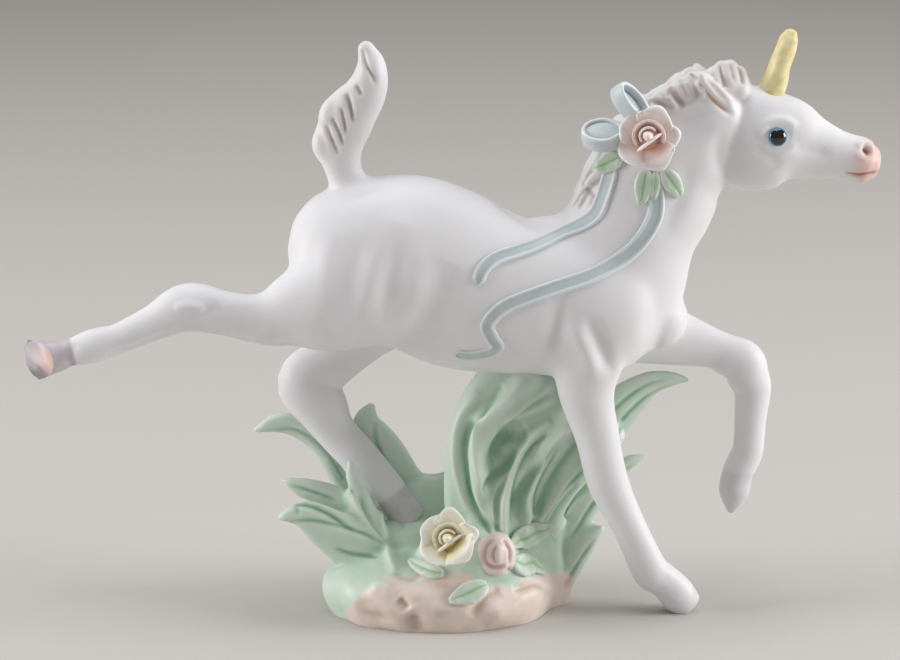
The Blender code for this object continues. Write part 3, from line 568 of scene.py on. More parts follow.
# %% Broad strokes
MUSCLES = (
    (((-16.6, 88.5), (-19.4, 80.0), (-22.2, 70.0)), 3.2, -0.65, BOTH),
    (((-8.4, 90.5), (-11.2, 79.5), (-13.8, 67.5)), 3.7, -1.25, BOTH),
    (((-14.2, 88.0), (-16.2, 79.5), (-18.0, 70.0)), 2.8, 0.35, BOTH),
    (((-24.4, 89.5), (-26.0, 80.0), (-25.8, 71.0)), 2.6, 0.4, BOTH),
    (((1.6, 82.0), (-2.0, 74.0), (-5.4, 65.5)), 4.6, -0.9, BOTH),
    (((-22.3, 94.2), (-16.0, 96.2), (-10.4, 96.9)), 1.7, -0.5, BOTH),
    (((-27.3, 70.8), (-24.0, 66.0), (-18.0, 63.8)), 1.8, -0.4, NEAR),
    (((25.2, 76.0), (23.9, 66.6), (23.0, 59.8)), 2.6, -1.2, BOTH),
    (((26.7, 69.1), (30.0, 63.3), (32.9, 55.7)), 2.0, 0.7, BOTH),
    (((29.9, 71.6), (32.9, 65.3), (34.8, 59.9), (37.2, 56.0)), 1.8, -1.0, BOTH),
    (((10.6, 92.1), (20.3, 88.6), (27.4, 87.9)), 2.8, -0.8, BOTH),
    (((-31.5, 66.5), (-41.0, 63.5), (-50.0, 62.5)), 1.6, -0.35, NEAR),
    (((-49.0, 72.6), (-53.0, 70.4), (-58.0, 68.6)), 1.1, -0.45, NEAR),
    (((-52.2, 71.4), (-55.2, 72.4), (-58.6, 72.0)), 1.0, 0.45, NEAR),
    (((-60.0, 66.4), (-67.0, 63.4), (-74.0, 61.6)), 0.8, -0.35, NEAR),
    (((-80.5, 63.8), (-81.6, 60.2), (-80.8, 57.4)), 1.2, -0.45, NEAR),
    (((52.5, 104.0), (50.5, 96.0), (46.5, 86.0)), 2.2, -0.45, BOTH),
    (((61.0, 98.5), (58.5, 104.0), (60.0, 110.5)), 1.7, -0.45, BOTH),
    (((71.5, 101.5), (70.0, 104.2), (66.5, 106.5)), 1.4, -0.25, BOTH),
)
carve(foal, MUSCLES)

# %% The face
POLL_X, POLL_Z = POLL
EYE = (71.4, 108.4)
FACE = (
    (((67.0, 108.6), (69.0, 111.4), (72.6, 112.0), (75.6, 110.6)), 0.95, 0.55, BOTH),
    (((67.4, 107.2), (70.0, 105.2), (73.4, 105.2), (75.6, 107.2)), 0.9, 0.28, BOTH),
    (((68.9, 108.6), (71.4, 109.6), (74.4, 108.4)), 1.1, -0.42, BOTH),
    (((74.8, 105.6), (79.0, 104.9), (84.0, 104.0)), 1.5, -0.4, BOTH),
    (((88.9, 105.6), (90.2, 106.5), (92.0, 105.8), (92.6, 103.8)), 0.8, 0.45, BOTH),
    (((88.9, 104.8), (89.8, 103.4), (91.4, 102.6)), 0.7, 0.3, BOTH),
    (((85.5, 98.6), (88.5, 97.6), (91.5, 98.2)), 0.9, 0.3, BOTH),
)
carve(foal, FACE)

# %% Fine lines
LINES = (
    (((-18.0, 126.7), (-17.4, 124.1), (-15.9, 121.3), (-15.1, 119.3)), 0.55, -0.62, BOTH),
    (((-19.4, 119.1), (-18.1, 116.9)), 0.5, -0.5, BOTH),
    (((-21.5, 117.3), (-20.7, 114.7), (-20.0, 110.8)), 0.62, -0.75, BOTH),
    (((-22.6, 114.1), (-22.0, 111.0), (-21.6, 108.2)), 0.55, -0.6, BOTH),
    (((-26.1, 110.3), (-24.6, 107.0), (-23.2, 103.8)), 0.6, -0.62, BOTH),
    (((-24.6, 111.9), (-23.1, 108.6), (-22.2, 105.6)), 0.55, -0.6, BOTH),
    (((59.0, 123.6), (59.4, 121.4), (60.2, 118.6)), 0.6, -0.7, BOTH),
    (((61.3, 123.8), (61.7, 121.8), (62.2, 119.6)), 0.4, -0.3, BOTH),
    (((63.2, 122.8), (63.7, 121.4), (64.0, 119.0)), 0.5, -0.6, BOTH),
    (((90.1, 105.3), (90.9, 104.9), (91.6, 103.9)), 0.6, -1.1, BOTH),
    (((86.3, 100.0), (88.8, 99.4), (91.4, 99.6), (94.0, 99.8)), 0.45, -0.6, BOTH),
)
MANE_LINES = (
    (((47.3, 119.6), (49.2, 117.2), (51.2, 114.6)), 0.8, -0.8, BOTH),
    (((52.0, 122.8), (53.8, 120.4), (55.4, 117.2)), 0.7, -0.8, BOTH),
    (((43.0, 116.8), (46.0, 115.4), (49.0, 114.4)), 0.7, -0.6, BOTH),
    (((50.0, 120.8), (51.2, 118.6), (52.2, 116.2)), 0.5, -0.4, BOTH),
    (((45.4, 118.2), (47.0, 116.8), (48.2, 115.8)), 0.45, -0.35, BOTH),
    (((39.6, 110.6), (35.6, 107.2), (32.4, 103.2)), 0.6, -0.6, BOTH),
    (((34.6, 104.0), (30.8, 100.0), (28.0, 95.2)), 0.6, -0.7, BOTH),
    (((34.6, 100.0), (31.4, 97.0), (28.8, 92.4)), 0.6, -0.6, BOTH),
    (((32.0, 98.6), (29.2, 95.2), (27.2, 92.0)), 0.4, -0.4, BOTH),
)
EAR_LINES = (
    (((54.5, 120.1), (56.2, 117.8), (57.9, 116.0), (59.9, 114.4), (61.5, 113.4)), 0.5, -0.6, BOTH),
)
EAR_CUP = (
    (((55.4, 121.6), (58.4, 118.4), (61.0, 115.6)), 1.1, -0.6, BOTH),
)
KICKED_END_X = -78.0
carve(foal, EAR_CUP)
lines = carve(foal, LINES)
mane_lines = carve(foal, MANE_LINES)
ear_lines = carve(foal, EAR_LINES)
place, normal, edges = read(foal)
place = relax(place, edges, 0.6, 1)
kicked_end = place[:, 0] < KICKED_END_X
place[kicked_end] = flatten(place[kicked_end], KICKED_SOLE, SOLE_FACING)
place = flatten(place, (0.0, 0.0, 0.0), (0.0, 0.0, -1.0))
write(foal, place)
lay(foal, "line", lines)
lay(foal, "mane_line", mane_lines)
lay(foal, "ear_line", ear_lines)
thin(foal, FOAL_TRIANGLES)
print("The scored lines touch", int((lines > 0.5).sum()), "points")

# %% [markdown]
# ## Porcelain and paint
#
# Bisque is fired porcelain without glaze. Light sinks in a little and comes out soft, and the
# sheen is satin, never wet. The paint is thin metal-oxide washes: stronger where it gathers
# in a crease, and worn to white on a ridge. The same layers also carry painted shade in the
# creases and a painted highlight on the ridges. So each colour below is a layer over white, and
# its strength is a number stored on the mesh, broken up by a fine mottle.

# %% Colours and nodes
def linear(code):
    """An sRGB hex colour as linear red, green, blue and 1: ((c + 0.055) / 1.055)^2.4."""
    parts = [int(code[i:i + 2], 16) / 255 for i in (1, 3, 5)]
    return (*[((c + 0.055) / 1.055) ** 2.4 if c > 0.04045 else c / 12.92 for c in parts], 1.0)


def add(tree, kind, inputs=None, **settings):
    """Add a node. settings are its own fields, and inputs its sockets, by name or number,
    each given a value or joined to another node's output."""
    node = tree.nodes.new(kind)
    for field, value in settings.items():
        setattr(node, field, value)
    for key, value in (inputs or {}).items():
        if isinstance(value, bpy.types.NodeSocket):
            tree.links.new(value, node.inputs[key])
        else:
            node.inputs[key].default_value = value
    return node


def brushed(tree, under, colour, strength, most=1.0):
    """A wash over what is under it: its strength times most, times a mottle between 0.8 and
    1.1 that repeats about every 2.5 mm, as thin paint dries on a dry body. The strength is a
    socket or the name of a paint layer on the mesh."""
    if isinstance(strength, str):
        strength = add(tree, "ShaderNodeAttribute", attribute_name=strength).outputs["Fac"]
    where = add(tree, "ShaderNodeTexCoord").outputs["Object"]
    mottle = add(tree, "ShaderNodeTexNoise", {"Vector": where, "Scale": 1 / (2.5 * MM), "Detail": 3.0})
    uneven = add(tree, "ShaderNodeMapRange",
                 {"Value": mottle.outputs["Fac"], 1: 0.3, 2: 0.7, 3: 0.8 * most, 4: 1.1 * most})
    share = add(tree, "ShaderNodeMath", {0: strength, 1: uneven.outputs[0]},
                operation="MULTIPLY", use_clamp=True)
    mixed = add(tree, "ShaderNodeMix", {0: share.outputs[0], 6: under, 7: linear(colour)},
                data_type="RGBA")
    return mixed.outputs[2]


def bisque(name, colour, roughness=0.46):
    """Fired, unglazed porcelain: a plain shader with the grain of the body as its bump. The
    grain is 0.02 mm on the real piece and is drawn at 0.35 mm so that it shows. Returns the
    tree, the shader and the body colour with a faint cloudiness of about 12 mm."""
    material = bpy.data.materials.new(name)
    material.use_nodes = True
    tree = material.node_tree
    shader = tree.nodes["Principled BSDF"]
    shader.inputs["Roughness"].default_value = roughness
    shader.inputs["IOR"].default_value = 1.5
    shader.inputs["Specular IOR Level"].default_value = 0.42
    shader.inputs["Subsurface Weight"].default_value = 0.12
    shader.inputs["Subsurface Radius"].default_value = (1.0, 0.8, 0.7)
    shader.inputs["Subsurface Scale"].default_value = 1.2 * MM
    where = add(tree, "ShaderNodeTexCoord").outputs["Object"]
    cloud = add(tree, "ShaderNodeTexNoise", {"Vector": where, "Scale": 1 / (12 * MM), "Detail": 2.0})
    tone = add(tree, "ShaderNodeMapRange", {"Value": cloud.outputs["Fac"], 1: 0.3, 2: 0.7, 3: 0.97, 4: 1.02})
    white = add(tree, "ShaderNodeMix", {0: 1.0, 6: linear(colour), 7: tone.outputs[0]},
                data_type="RGBA", blend_type="MULTIPLY")
    grain = add(tree, "ShaderNodeTexNoise", {"Vector": where, "Scale": 1 / (0.35 * MM), "Detail": 2.0})
    bump = add(tree, "ShaderNodeBump",
               {"Height": grain.outputs["Fac"], "Strength": 0.05, "Distance": 0.05 * MM})
    tree.links.new(bump.outputs["Normal"], shader.inputs["Normal"])
    return material, tree, shader, white.outputs[2]


def coloured(tree, shader, colour):
    """Give the shader its finished colour."""
    tree.links.new(colour, shader.inputs["Base Color"])


WHITE_BISQUE = "#edecee"


def washed(name, washes, under=None, roughness=0.42, sunk=0.12):
    """Bisque with washes one over another, each given as its colour, the paint layer that
    says where it lies, and its greatest strength. The first lies on the colour under, or
    without one on the cloudy white body. sunk is the share of light that enters the body."""
    material, tree, shader, body = bisque(name, WHITE_BISQUE, roughness)
    shader.inputs["Subsurface Weight"].default_value = sunk
    body = linear(under) if under else body
    for colour, layer, most in washes:
        body = brushed(tree, body, colour, layer, most)
    coloured(tree, shader, body)
    return material


# %% A finished piece in its place
def dress(thing, material, node="unicorn_on_grass"):
    """Give a piece its material, let it ride on the one body, and hide the CAD node that it
    stands for."""
    thing.data.materials.append(material)
    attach(thing, BODY)
    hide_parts(node)
    print(thing.name + ":", triangles(thing), "triangles")


# %% The foal's washes
HAIR_WASH = "#c6bab2"
HAIR_BROWN = "#a07a52"
EAR_PEACH = "#d99c7c"
HOOF_MAUVE = "#c3b7be"
SKIN_PINK = "#e9b9a9"
LIP_BROWN = "#a8623c"


# White bisque with a satin sheen. It has a beige wash and brown lines in the hair, mauve
# hooves, a pink muzzle, a peach line in the ear, and a brown nostril and mouth. The beige and
# brown in the creases of the hair are partly painted shade.
FOAL_WASHES = (
    (HAIR_WASH, "hair", 0.75), (HAIR_BROWN, "brown", 0.85), (HOOF_MAUVE, "hoof", 0.8),
    (SKIN_PINK, "pink", 0.85), (EAR_PEACH, "peach", 0.85), (LIP_BROWN, "lip", 0.95),
)
foal_finish = washed("white_bisque_with_washes", FOAL_WASHES, roughness=0.46)


# %% Where each paint goes on the foal
def stored(thing, name):
    """A number per vertex read back from the mesh."""
    out = np.empty(len(thing.data.vertices))
    thing.data.attributes[name].data.foreach_get("value", out)
    return out


def from_line(place, start, end):
    """Distance in the x-z plane from the line through two points, positive on its left."""
    dx, dz = end[0] - start[0], end[1] - start[1]
    return ((place[:, 2] - start[1]) * dx - (place[:, 0] - start[0]) * dz) / math.hypot(dx, dz)


place, normal, edges = read(foal)
x, y, z = place.T
crease = np.clip(hollows(place, normal, edges, 6, 0.10), 0, 1)
line, mane_line, ear_line = (stored(foal, name) for name in ("line", "mane_line", "ear_line"))
crest = from_line(place, (27.5, 88.0), (51.0, 110.5))
crest_top = from_line(place, (46.0, 108.5), (60.0, 113.0))
mane_zone = step(crest, 0.5, 2.6) * step(z, 88.5, 91.5) * step(-x, -56, -50) * step(x, 20.0, 23.0)
bun_zone = step(crest_top, 0.4, 2.2) * step(x, 44, 48) * step(-x, -67, -64) * step(z, 108, 111)
mane_zone = np.maximum(mane_zone, bun_zone)
tail_back = from_line(place, (-14.5, 100.0), (-11.5, 122.0))
tail_zone = step(z, 99.0, 107.0) * step(tail_back, 1.0, 6.0) * (x < 0)
any_hair = np.maximum(mane_zone, tail_zone)
# Hair wash, deeper in the hair's creases: partly wash that pools there, partly painted shade.
lay(foal, "hair", np.maximum(mane_zone * 0.35, tail_zone * 0.22) + crease * any_hair * 0.5)
hair_line = np.maximum(line ** 3 * (z > 106.5) * (x < 66) * 0.4, mane_line ** 2 * 0.25)
# Brown lines in the hair grooves, and brown in the hair's creases as painted shade.
lay(foal, "brown", hair_line + 0.25 * crease * any_hair)
kicked = step(-x - 0.25 * (z - 60.0), 80.2, 81.0) * (x < -70)
standing = step(-(z + 0.55 * (x - 50.0)), -4.6, -4.0) * (x > 44) * (z < 9)
raised = step(-z - 0.12 * (x - 62.0), -30.2, -29.4) * (x > 55) * (z < 34)
down_the_leg = (x + 13.2) * 0.555 - (z - 26.1) * 0.832
planted = step(down_the_leg, 0.9, 1.8) * (x > -16) * (x < 2) * (z < 30)
lay(foal, "hoof", np.maximum.reduce([kicked, standing * 0.12, raised * 0.4, planted * 0.85]))
facing = np.array(SOLE_FACING) / np.linalg.norm(SOLE_FACING)
on_sole_plane = step((place - KICKED_SOLE) @ facing, -0.25, -0.05)
sole = step(normal @ facing, 0.90, 0.98) * (x < KICKED_END_X) * on_sole_plane
muzzle = 1 - step(np.hypot(x - 94.5, z - 101.0), 3.5, 8.5)
lay(foal, "pink", np.maximum(sole, muzzle * 0.85 * (x > 80)))
lay(foal, "peach", ear_line ** 1.4 * (x < 62.0) * (x > 50) * 0.85)
lay(foal, "lip", line ** 1.3 * (x > 80))
dress(foal, foal_finish)
print("Painted hair on", int((any_hair > 0.5).sum()), "points")

# %% [markdown]
# ## Horn and eyes
#
# The horn is a blunt cone, pressed on in the mould, so its surface is lumpy and not turned.
# Its yellow is a wash too, with darker ochre spots. The eyes are the only glazed places.

# %% Horn
HORN_LENGTH, HORN_LEAN = 15.8, 72.5
HORN_FOOT = np.array([POLL_X + 11.8, 0.0, POLL_Z + 3.0])
HORN_SHARES = (-0.24, 0.0, 0.25, 0.5, 0.75, 0.93, 1.0)
HORN_RADII = (3.3, 3.1, 2.85, 2.5, 2.25, 1.95, 1.4)


def horn():
    """Rings of radius r(s) times 1 plus two low waves round and along, on a leaning line.
    Three more rings close the top: they shrink by cos(b) while they rise by 0.9 sin(b) mm."""
    share = np.linspace(HORN_SHARES[0], 1.0, 60)
    radius = np.interp(share, HORN_SHARES, HORN_RADII)
    lean = math.radians(HORN_LEAN)
    upwards = (math.cos(lean), 0, math.sin(lean))
    path = HORN_FOOT + np.outer(share * HORN_LENGTH, upwards)
    angle = np.arange(SIDES) * 2 * math.pi / SIDES
    s = share[:, None]
    lumps = 1 + 0.035 * np.sin(9 * s + 2 * angle) + 0.03 * np.sin(17 * s - 3 * angle + 1)
    ring = radius[:, None] * lumps
    forwards = np.array([math.sin(lean), 0.0, -math.cos(lean)])
    sideways = np.array([0.0, 1.0, 0.0])
    rings = (path[:, None] + ring[..., None] * (np.cos(angle)[:, None] * forwards
                                                 + np.sin(angle)[:, None] * sideways))
    bend = np.radians([30, 60, 80])
    round_top = path[-1] + np.outer(np.sin(bend), upwards) * 0.9
    caps = round_top[:, None] + (rings[-1] - path[-1]) * np.cos(bend)[:, None, None]
    return tube(np.concatenate([rings, caps]), np.concatenate([share, [1, 1, 1]])[:, None])


def horn_finish():
    """Pale yellow wash over bisque with darker ochre spots about 1.5 mm across."""
    material, tree, shader, body = bisque("yellow_washed_bisque", "#f3e9bb", 0.42)
    where = add(tree, "ShaderNodeTexCoord").outputs["Object"]
    spots = add(tree, "ShaderNodeTexNoise", {"Vector": where, "Scale": 1 / (1.5 * MM), "Detail": 3.0})
    dark = add(tree, "ShaderNodeMapRange", {"Value": spots.outputs["Fac"], 1: 0.42, 2: 0.66, 3: 0.0, 4: 0.6})
    body = brushed(tree, body, "#e0c96c", dark.outputs[0])
    coloured(tree, shader, body)
    return material


horn_piece = new_object("horn", [horn()])
face_out(horn_piece)
dress(horn_piece, horn_finish())

# %% Eyes
EYE_RADIUS = 2.1


def eye(centre, side):
    """A dome: rings of radius R sin(a), raised by 0.7 R cos(a) out of the head."""
    polar = np.linspace(0.02, math.pi / 2, 22)
    angle = np.arange(48) * 2 * math.pi / 48
    out = np.array([0.10, side * 0.99, 0.10])
    out /= np.linalg.norm(out)
    up = np.array([0.0, 0.0, 1.0]) - out * out[2]
    up /= np.linalg.norm(up)
    right = np.cross(up, out)
    flat = np.cos(angle)[:, None] * right + np.sin(angle)[:, None] * up
    rings = centre + EYE_RADIUS * (np.sin(polar)[:, None, None] * flat[None]
                                   + 0.7 * np.cos(polar)[:, None, None] * out)
    rings = np.concatenate([rings, rings[-1:] - out * 1.2])
    marks = np.concatenate([np.sin(polar), [1.0]])
    return tube(rings, marks[:, None])


def eye_finish():
    """Black overglaze with a blue ring at its rim, fired glossy, so the coat is clear."""
    material, tree, shader, _ = bisque("glazed_eye", WHITE_BISQUE, 0.08)
    shader.inputs["Coat Weight"].default_value = 1.0
    shader.inputs["Coat Roughness"].default_value = 0.03
    shader.inputs["Subsurface Weight"].default_value = 0.0
    tint = add(tree, "ShaderNodeAttribute", attribute_name="tint").outputs["Fac"]
    edge = add(tree, "ShaderNodeMapRange", {"Value": tint, 1: 0.82, 2: 0.88, 3: 0.0, 4: 1.0})
    rim = add(tree, "ShaderNodeMapRange", {"Value": tint, 1: 0.96, 2: 1.00, 3: 0.0, 4: 0.8})
    iris = add(tree, "ShaderNodeMix", {0: edge.outputs[0], 6: linear("#0b0b0f"), 7: linear("#4f8db3")},
               data_type="RGBA")
    coloured(tree, shader, brushed(tree, iris.outputs[2], "#d5dce2", rim.outputs[0]))
    return material


foal_skin = skin_tree(foal)
eye_forms = []
for side in BOTH:
    spot = touch(foal_skin, *EYE, side)
    eye_forms.append(eye(spot - np.array([0.0, side * 0.25, 0.0]), side))
eyes = new_object("eyes", eye_forms)
face_out(eyes)
dress(eyes, eye_finish())
print("eyes at y =", [round(float(touch(foal_skin, *EYE, side)[1]), 1) for side in BOTH], "mm")

# %% [markdown]
# ## Grass and ground
#
# The grass is what holds the foal up: a ridged tuft under the belly, a clump round the
# planted hoof and a few loose blades. It is cast in one with the rounded pad of earth, so one
# skin goes over both, and the colours meet in a painted, uneven line.

# %% Their main forms
BASE_LENGTH, BASE_DEPTH, BASE_HEIGHT = 53.0, 41.2, 13.5
BLADE_SHEET = 4.0
TUFT_DEPTH = 19.0
KNOLL_HEIGHT = 21.0
BLADES = (
    ((-10.5, 4.9, 4.0), (-20.0, 21.0, 2.8), (-24.6, 28.0, 2.2), (-27.6, 34.0, 2.3), (-30.6, 37.6, 2.7),
     (-34.4, 40.0, 2.8), (-38.6, 40.3, 2.4), (-42.8, 38.7, 1.0), 8.0),
    ((-13.8, 7.6, 4.2), (-18.5, 17.5, 4.6), (-22.3, 23.0, 3.8), (-27.9, 25.8, 3.0), (-32.4, 27.2, 2.5),
     (-36.0, 28.7, 1.1), 1.6),
    ((-14.8, 6.1, 5.5), (-21.5, 15.0, 6.0), (-26.6, 19.0, 5.2), (-32.0, 22.2, 3.6), (-36.8, 21.6, 1.2), -2.6),
    ((-6.0, 5.3, 8.0), (-9.6, 20.0, 7.4), (-13.8, 31.0, 6.2), (-17.0, 37.6, 4.8), (-17.8, 41.2, 3.3),
     (-16.8, 44.0, 1.3), 9.0),
    ((-11.9, 9.0, 4.0), (-15.6, 15.6, 3.8), (-18.4, 22.4, 3.2), (-20.4, 29.2, 2.3), (-21.4, 33.6, 1.0), -0.6),
    ((25.8, 22.6, 5.4), (33.5, 36.6, 5.4), (39.5, 45.0, 4.8), (45.4, 49.8, 3.2), (50.2, 51.0, 2.0),
     (54.0, 50.8, 0.9), 6.5),
    ((25.0, 8.0, 3.8), (31.6, 21.6, 3.2), (37.5, 29.4, 2.4), (41.6, 32.4, 1.8), (44.9, 33.7, 0.8), 4.5),
    ((24.6, 0.5, 3.2), (28.6, 8.6, 2.8), (31.8, 14.4, 2.8), (35.0, 17.6, 1.3), 2.0),
)
TUFT_RIDGES = (
    ((7.7, 4.7), (3.6, 17.7), (3.0, 34.0), (5.6, 46.5), (12.0, 56.0), 2.1, -3.0),
    ((10.3, 6.0), (8.0, 19.0), (6.8, 32.0), (10.0, 44.0), (18.1, 54.0), 2.1, -5.0),
    ((12.2, 5.2), (10.5, 14.7), (11.2, 29.0), (16.5, 39.0), (25.4, 50.0), 2.0, -2.0),
    ((14.7, 8.7), (13.0, 19.3), (15.5, 29.0), (22.6, 38.0), (30.0, 48.0), 2.0, -4.5),
    ((17.7, 7.7), (17.0, 18.3), (19.9, 26.5), (26.0, 35.0), (33.0, 44.0), 2.0, -2.5),
    ((21.2, 7.1), (21.5, 17.7), (25.0, 25.5), (30.0, 32.0), (37.0, 40.0), 2.1, 0.0),
)
TUFT_HEARTS = (
    (((13.5, 3.0, 13.5), (14.0, 20.0, 12.0), (18.0, 36.0, 12.5), (22.8, 52.0, 13.0)), 0.10, 0.38),
    (((-10.5, 3.0, 10.8), (-13.0, 14.0, 9.2), (-14.8, 25.0, 6.0)), 0.56, 0.28),
    (((-9.0, 2.0, 13.0), (-9.5, 8.5, 12.0), (-10.0, 14.0, 9.4)), 0.14, 0.38),
    (((-8.0, 20.0, 8.0), (1.0, 20.5, 8.0), (8.0, 25.0, 8.0)), 0.50, 0.26),
)


def blade(points, y):
    """A blade from rows of x, z and half breadth. Its half thickness falls from 2.7 to 1.3 mm."""
    rows = smooth(points)
    along = np.linspace(0.0, 1.0, len(rows))
    return loft(upright(rows, y), rows[:, 2], np.minimum(BLADE_SHEET / 2 * (1.35 - 0.7 * along), rows[:, 2]))


def grass():
    """Loose blades, the ridges of the tuft and the hearts that they grow from."""
    forms = [blade(points, y) for *points, y in BLADES]
    for *points, half, y in TUFT_RIDGES:
        forms.append(loft(upright(smooth(points), y + 1.2), half * 1.7, half * 1.4))
    for rows, behind, share in TUFT_HEARTS:
        rows = smooth(rows)
        spread = np.linspace(share * 1.15, share * 0.8, len(rows))
        forms.append(loft(upright(rows, TUFT_DEPTH * behind), rows[:, 2], TUFT_DEPTH * spread))
    return forms


PAD_SHIFT = -1.3


def ground():
    """The pad: a loft straight up whose oval is widest a third of the way from its foot."""
    share = smooth(((-0.15, 0.90), (0.05, 0.95), (0.30, 1.0), (0.55, 0.99), (0.78, 0.88), (1.0, 0.58)))
    path = np.outer(share[:, 0] * BASE_HEIGHT, (0.0, 0.0, 1.0)) + (PAD_SHIFT, 0.0, 0.0)
    pad = loft(path, share[:, 1] * BASE_LENGTH / 2, share[:, 1] * BASE_DEPTH / 2, ends=(0.0, 0.1))
    knoll = ball((4.5, -BASE_DEPTH * 0.215, KNOLL_HEIGHT / 2), (13.5, BASE_DEPTH * 0.185, KNOLL_HEIGHT / 2))
    return [pad, knoll]


def level_foot(thing):
    """Cut the mesh flat at z = 0 and close the cut."""
    work = bmesh.new()
    work.from_mesh(thing.data)
    cut = bmesh.ops.bisect_plane(work, geom=work.verts[:] + work.edges[:] + work.faces[:],
                                 plane_co=(0, 0, 0), plane_no=(0, 0, -1), clear_outer=True)
    rim = [e for e in cut["geom_cut"] if isinstance(e, bmesh.types.BMEdge)]
    bmesh.ops.triangle_fill(work, edges=rim, use_beauty=True)
    bmesh.ops.recalc_face_normals(work, faces=work.faces)
    work.to_mesh(thing.data)
    work.free()
    thing.data.shade_smooth()


TURF_VOXEL = 0.42
TURF_TRIANGLES = 185000
turf = fuse("grass_and_ground", grass() + ground(), TURF_VOXEL)
place, normal, edges = read(turf)
folded = np.clip(1.3 - np.hypot(place[:, 0] - 17.0, (place[:, 2] - 28.0) * 0.6) / 20.0, 0.0, 1.0)
write(turf, relax(place, edges, np.where(place[:, 2] > 2.5, 0.45 + 0.55 * folded, 0.3), 60))
print("grass skin:", len(place), "points")

# %% [markdown]
# The grass is scored too: a raised edge on each blade, a dark hollow between two edges, and
# thin veins. The earth is pressed with a few wide dents and a long crack.

# %% Strokes on the grass and the ground
RIDGES = (
    (((7.5, 50.7), (3.7, 46.2), (2.0, 40.6), (2.0, 33.8), (3.5, 27.5), (4.8, 23.7)), 2.8, 1.0, NEAR),
    (((16.9, 54.6), (14.0, 50.1), (10.3, 46.7), (7.0, 44.4), (6.4, 40.6), (6.7, 35.0), (7.8, 29.3),
      (9.2, 24.4), (11.8, 20.7)), 3.4, 1.5, NEAR),
    (((14.6, 33.6), (11.4, 29.6), (9.9, 25.6), (10.3, 19.4)), 1.8, 0.8, NEAR),
    (((23.2, 44.0), (19.9, 41.3), (16.9, 37.2), (15.1, 32.7), (13.6, 28.2), (12.9, 23.7),
      (12.9, 17.8)), 2.4, 2.0, NEAR),
    (((27.7, 43.4), (23.4, 38.8), (20.6, 33.4), (18.8, 28.9), (18.0, 25.5), (19.5, 18.8)), 2.6, 1.8, NEAR),
    (((31.0, 36.4), (26.7, 30.4), (24.3, 26.4), (20.6, 20.4)), 2.4, 1.6, NEAR),
    (((33.2, 26.5), (28.7, 22.5), (24.0, 16.4)), 2.6, 1.3, NEAR),
    (((25.5, 53.0), (20.6, 50.5), (16.9, 47.8), (12.0, 43.6)), 2.6, 1.0, NEAR),
    (((24.4, 49.4), (19.5, 46.9), (14.6, 44.6)), 2.0, 0.7, NEAR),
    (((-22.2, 29.1), (-20.4, 26.1), (-17.8, 21.2), (-13.8, 15.3), (-11.2, 11.9)), 2.4, 1.3, NEAR),
    (((-20.3, 34.5), (-17.6, 29.1), (-15.4, 23.9), (-13.4, 16.1)), 2.0, 0.9, NEAR),
)
HOLLOWS = (
    (((12.5, 52.5), (8.6, 47.3), (5.3, 43.3), (4.0, 37.9), (4.6, 31.1), (5.9, 25.5), (8.6, 21.4),
      (11.2, 18.7)), 0.9, -1.0, NEAR),
    (((17.9, 42.7), (12.5, 39.5), (11.0, 36.5), (9.6, 32.3)), 2.4, -1.9, NEAR),
    (((15.0, 38.0), (12.6, 33.6), (9.0, 30.0), (8.6, 24.0)), 1.1, -0.8, NEAR),
    (((26.0, 41.6), (21.7, 35.6), (18.4, 31.3), (16.2, 26.7), (16.2, 19.1)), 1.5, -1.3, NEAR),
    (((29.3, 39.3), (25.0, 32.7), (21.7, 26.7), (19.9, 20.1)), 1.3, -1.2, NEAR),
    (((30.0, 29.0), (26.5, 24.6), (22.4, 18.4)), 1.2, -1.0, NEAR),
    (((19.4, 21.6), (20.0, 19.4), (20.4, 17.4)), 1.2, -1.4, NEAR),
    (((-19.6, 26.6), (-16.8, 21.0), (-13.2, 15.6)), 0.8, -0.9, NEAR),
    (((-23.8, 30.6), (-22.2, 28.4), (-21.0, 25.8)), 0.8, -0.8, NEAR),
    (((-9.0, 14.6), (-5.6, 13.6), (-2.0, 14.0)), 2.2, -1.2, NEAR),
)
VEINS = (
    (((-35.0, 24.8), (-30.6, 24.6), (-26.0, 22.6), (-20.4, 18.6)), 0.7, -0.9, NEAR),
    (((-35.2, 20.8), (-29.4, 21.2), (-23.7, 20.0), (-18.4, 18.2), (-13.8, 15.5)), 0.45, -0.45, BOTH),
    (((-24.7, 14.8), (-20.6, 13.6), (-15.1, 13.2)), 0.5, -0.5, BOTH),
    (((-34.6, 28.0), (-29.6, 26.6), (-24.4, 24.6)), 0.4, -0.4, NEAR),
    (((-22.0, 26.0), (-27.0, 34.0), (-33.0, 38.9), (-39.0, 39.0)), 0.5, -0.4, BOTH),
    (((-9.6, 18.0), (-12.8, 28.0), (-15.6, 36.0), (-16.0, 41.0)), 0.6, -0.45, BOTH),
    (((30.0, 28.0), (37.0, 39.0), (44.0, 46.6), (50.4, 50.0)), 0.5, -0.5, BOTH),
    (((32.0, 37.0), (38.0, 44.8), (44.0, 49.6), (49.0, 51.2)), 0.45, -0.4, BOTH),
    (((28.0, 15.0), (33.0, 23.0), (38.4, 29.4), (42.6, 32.4)), 0.45, -0.45, BOTH),
    (((26.4, 4.0), (29.8, 10.0), (33.4, 15.4)), 0.45, -0.4, BOTH),
    (((22.4, 41.6), (18.9, 38.4), (16.4, 34.0), (14.9, 28.6), (14.3, 21.0)), 0.45, -0.5, NEAR),
    (((25.0, 38.6), (21.9, 32.6), (20.0, 28.0), (19.4, 23.0)), 0.4, -0.4, NEAR),
    (((30.8, 32.4), (27.6, 28.6), (24.6, 24.8), (21.6, 20.4)), 0.5, -0.5, NEAR),
    (((4.5, 36.0), (5.2, 29.0), (8.0, 22.6)), 0.45, -0.45, NEAR),
)
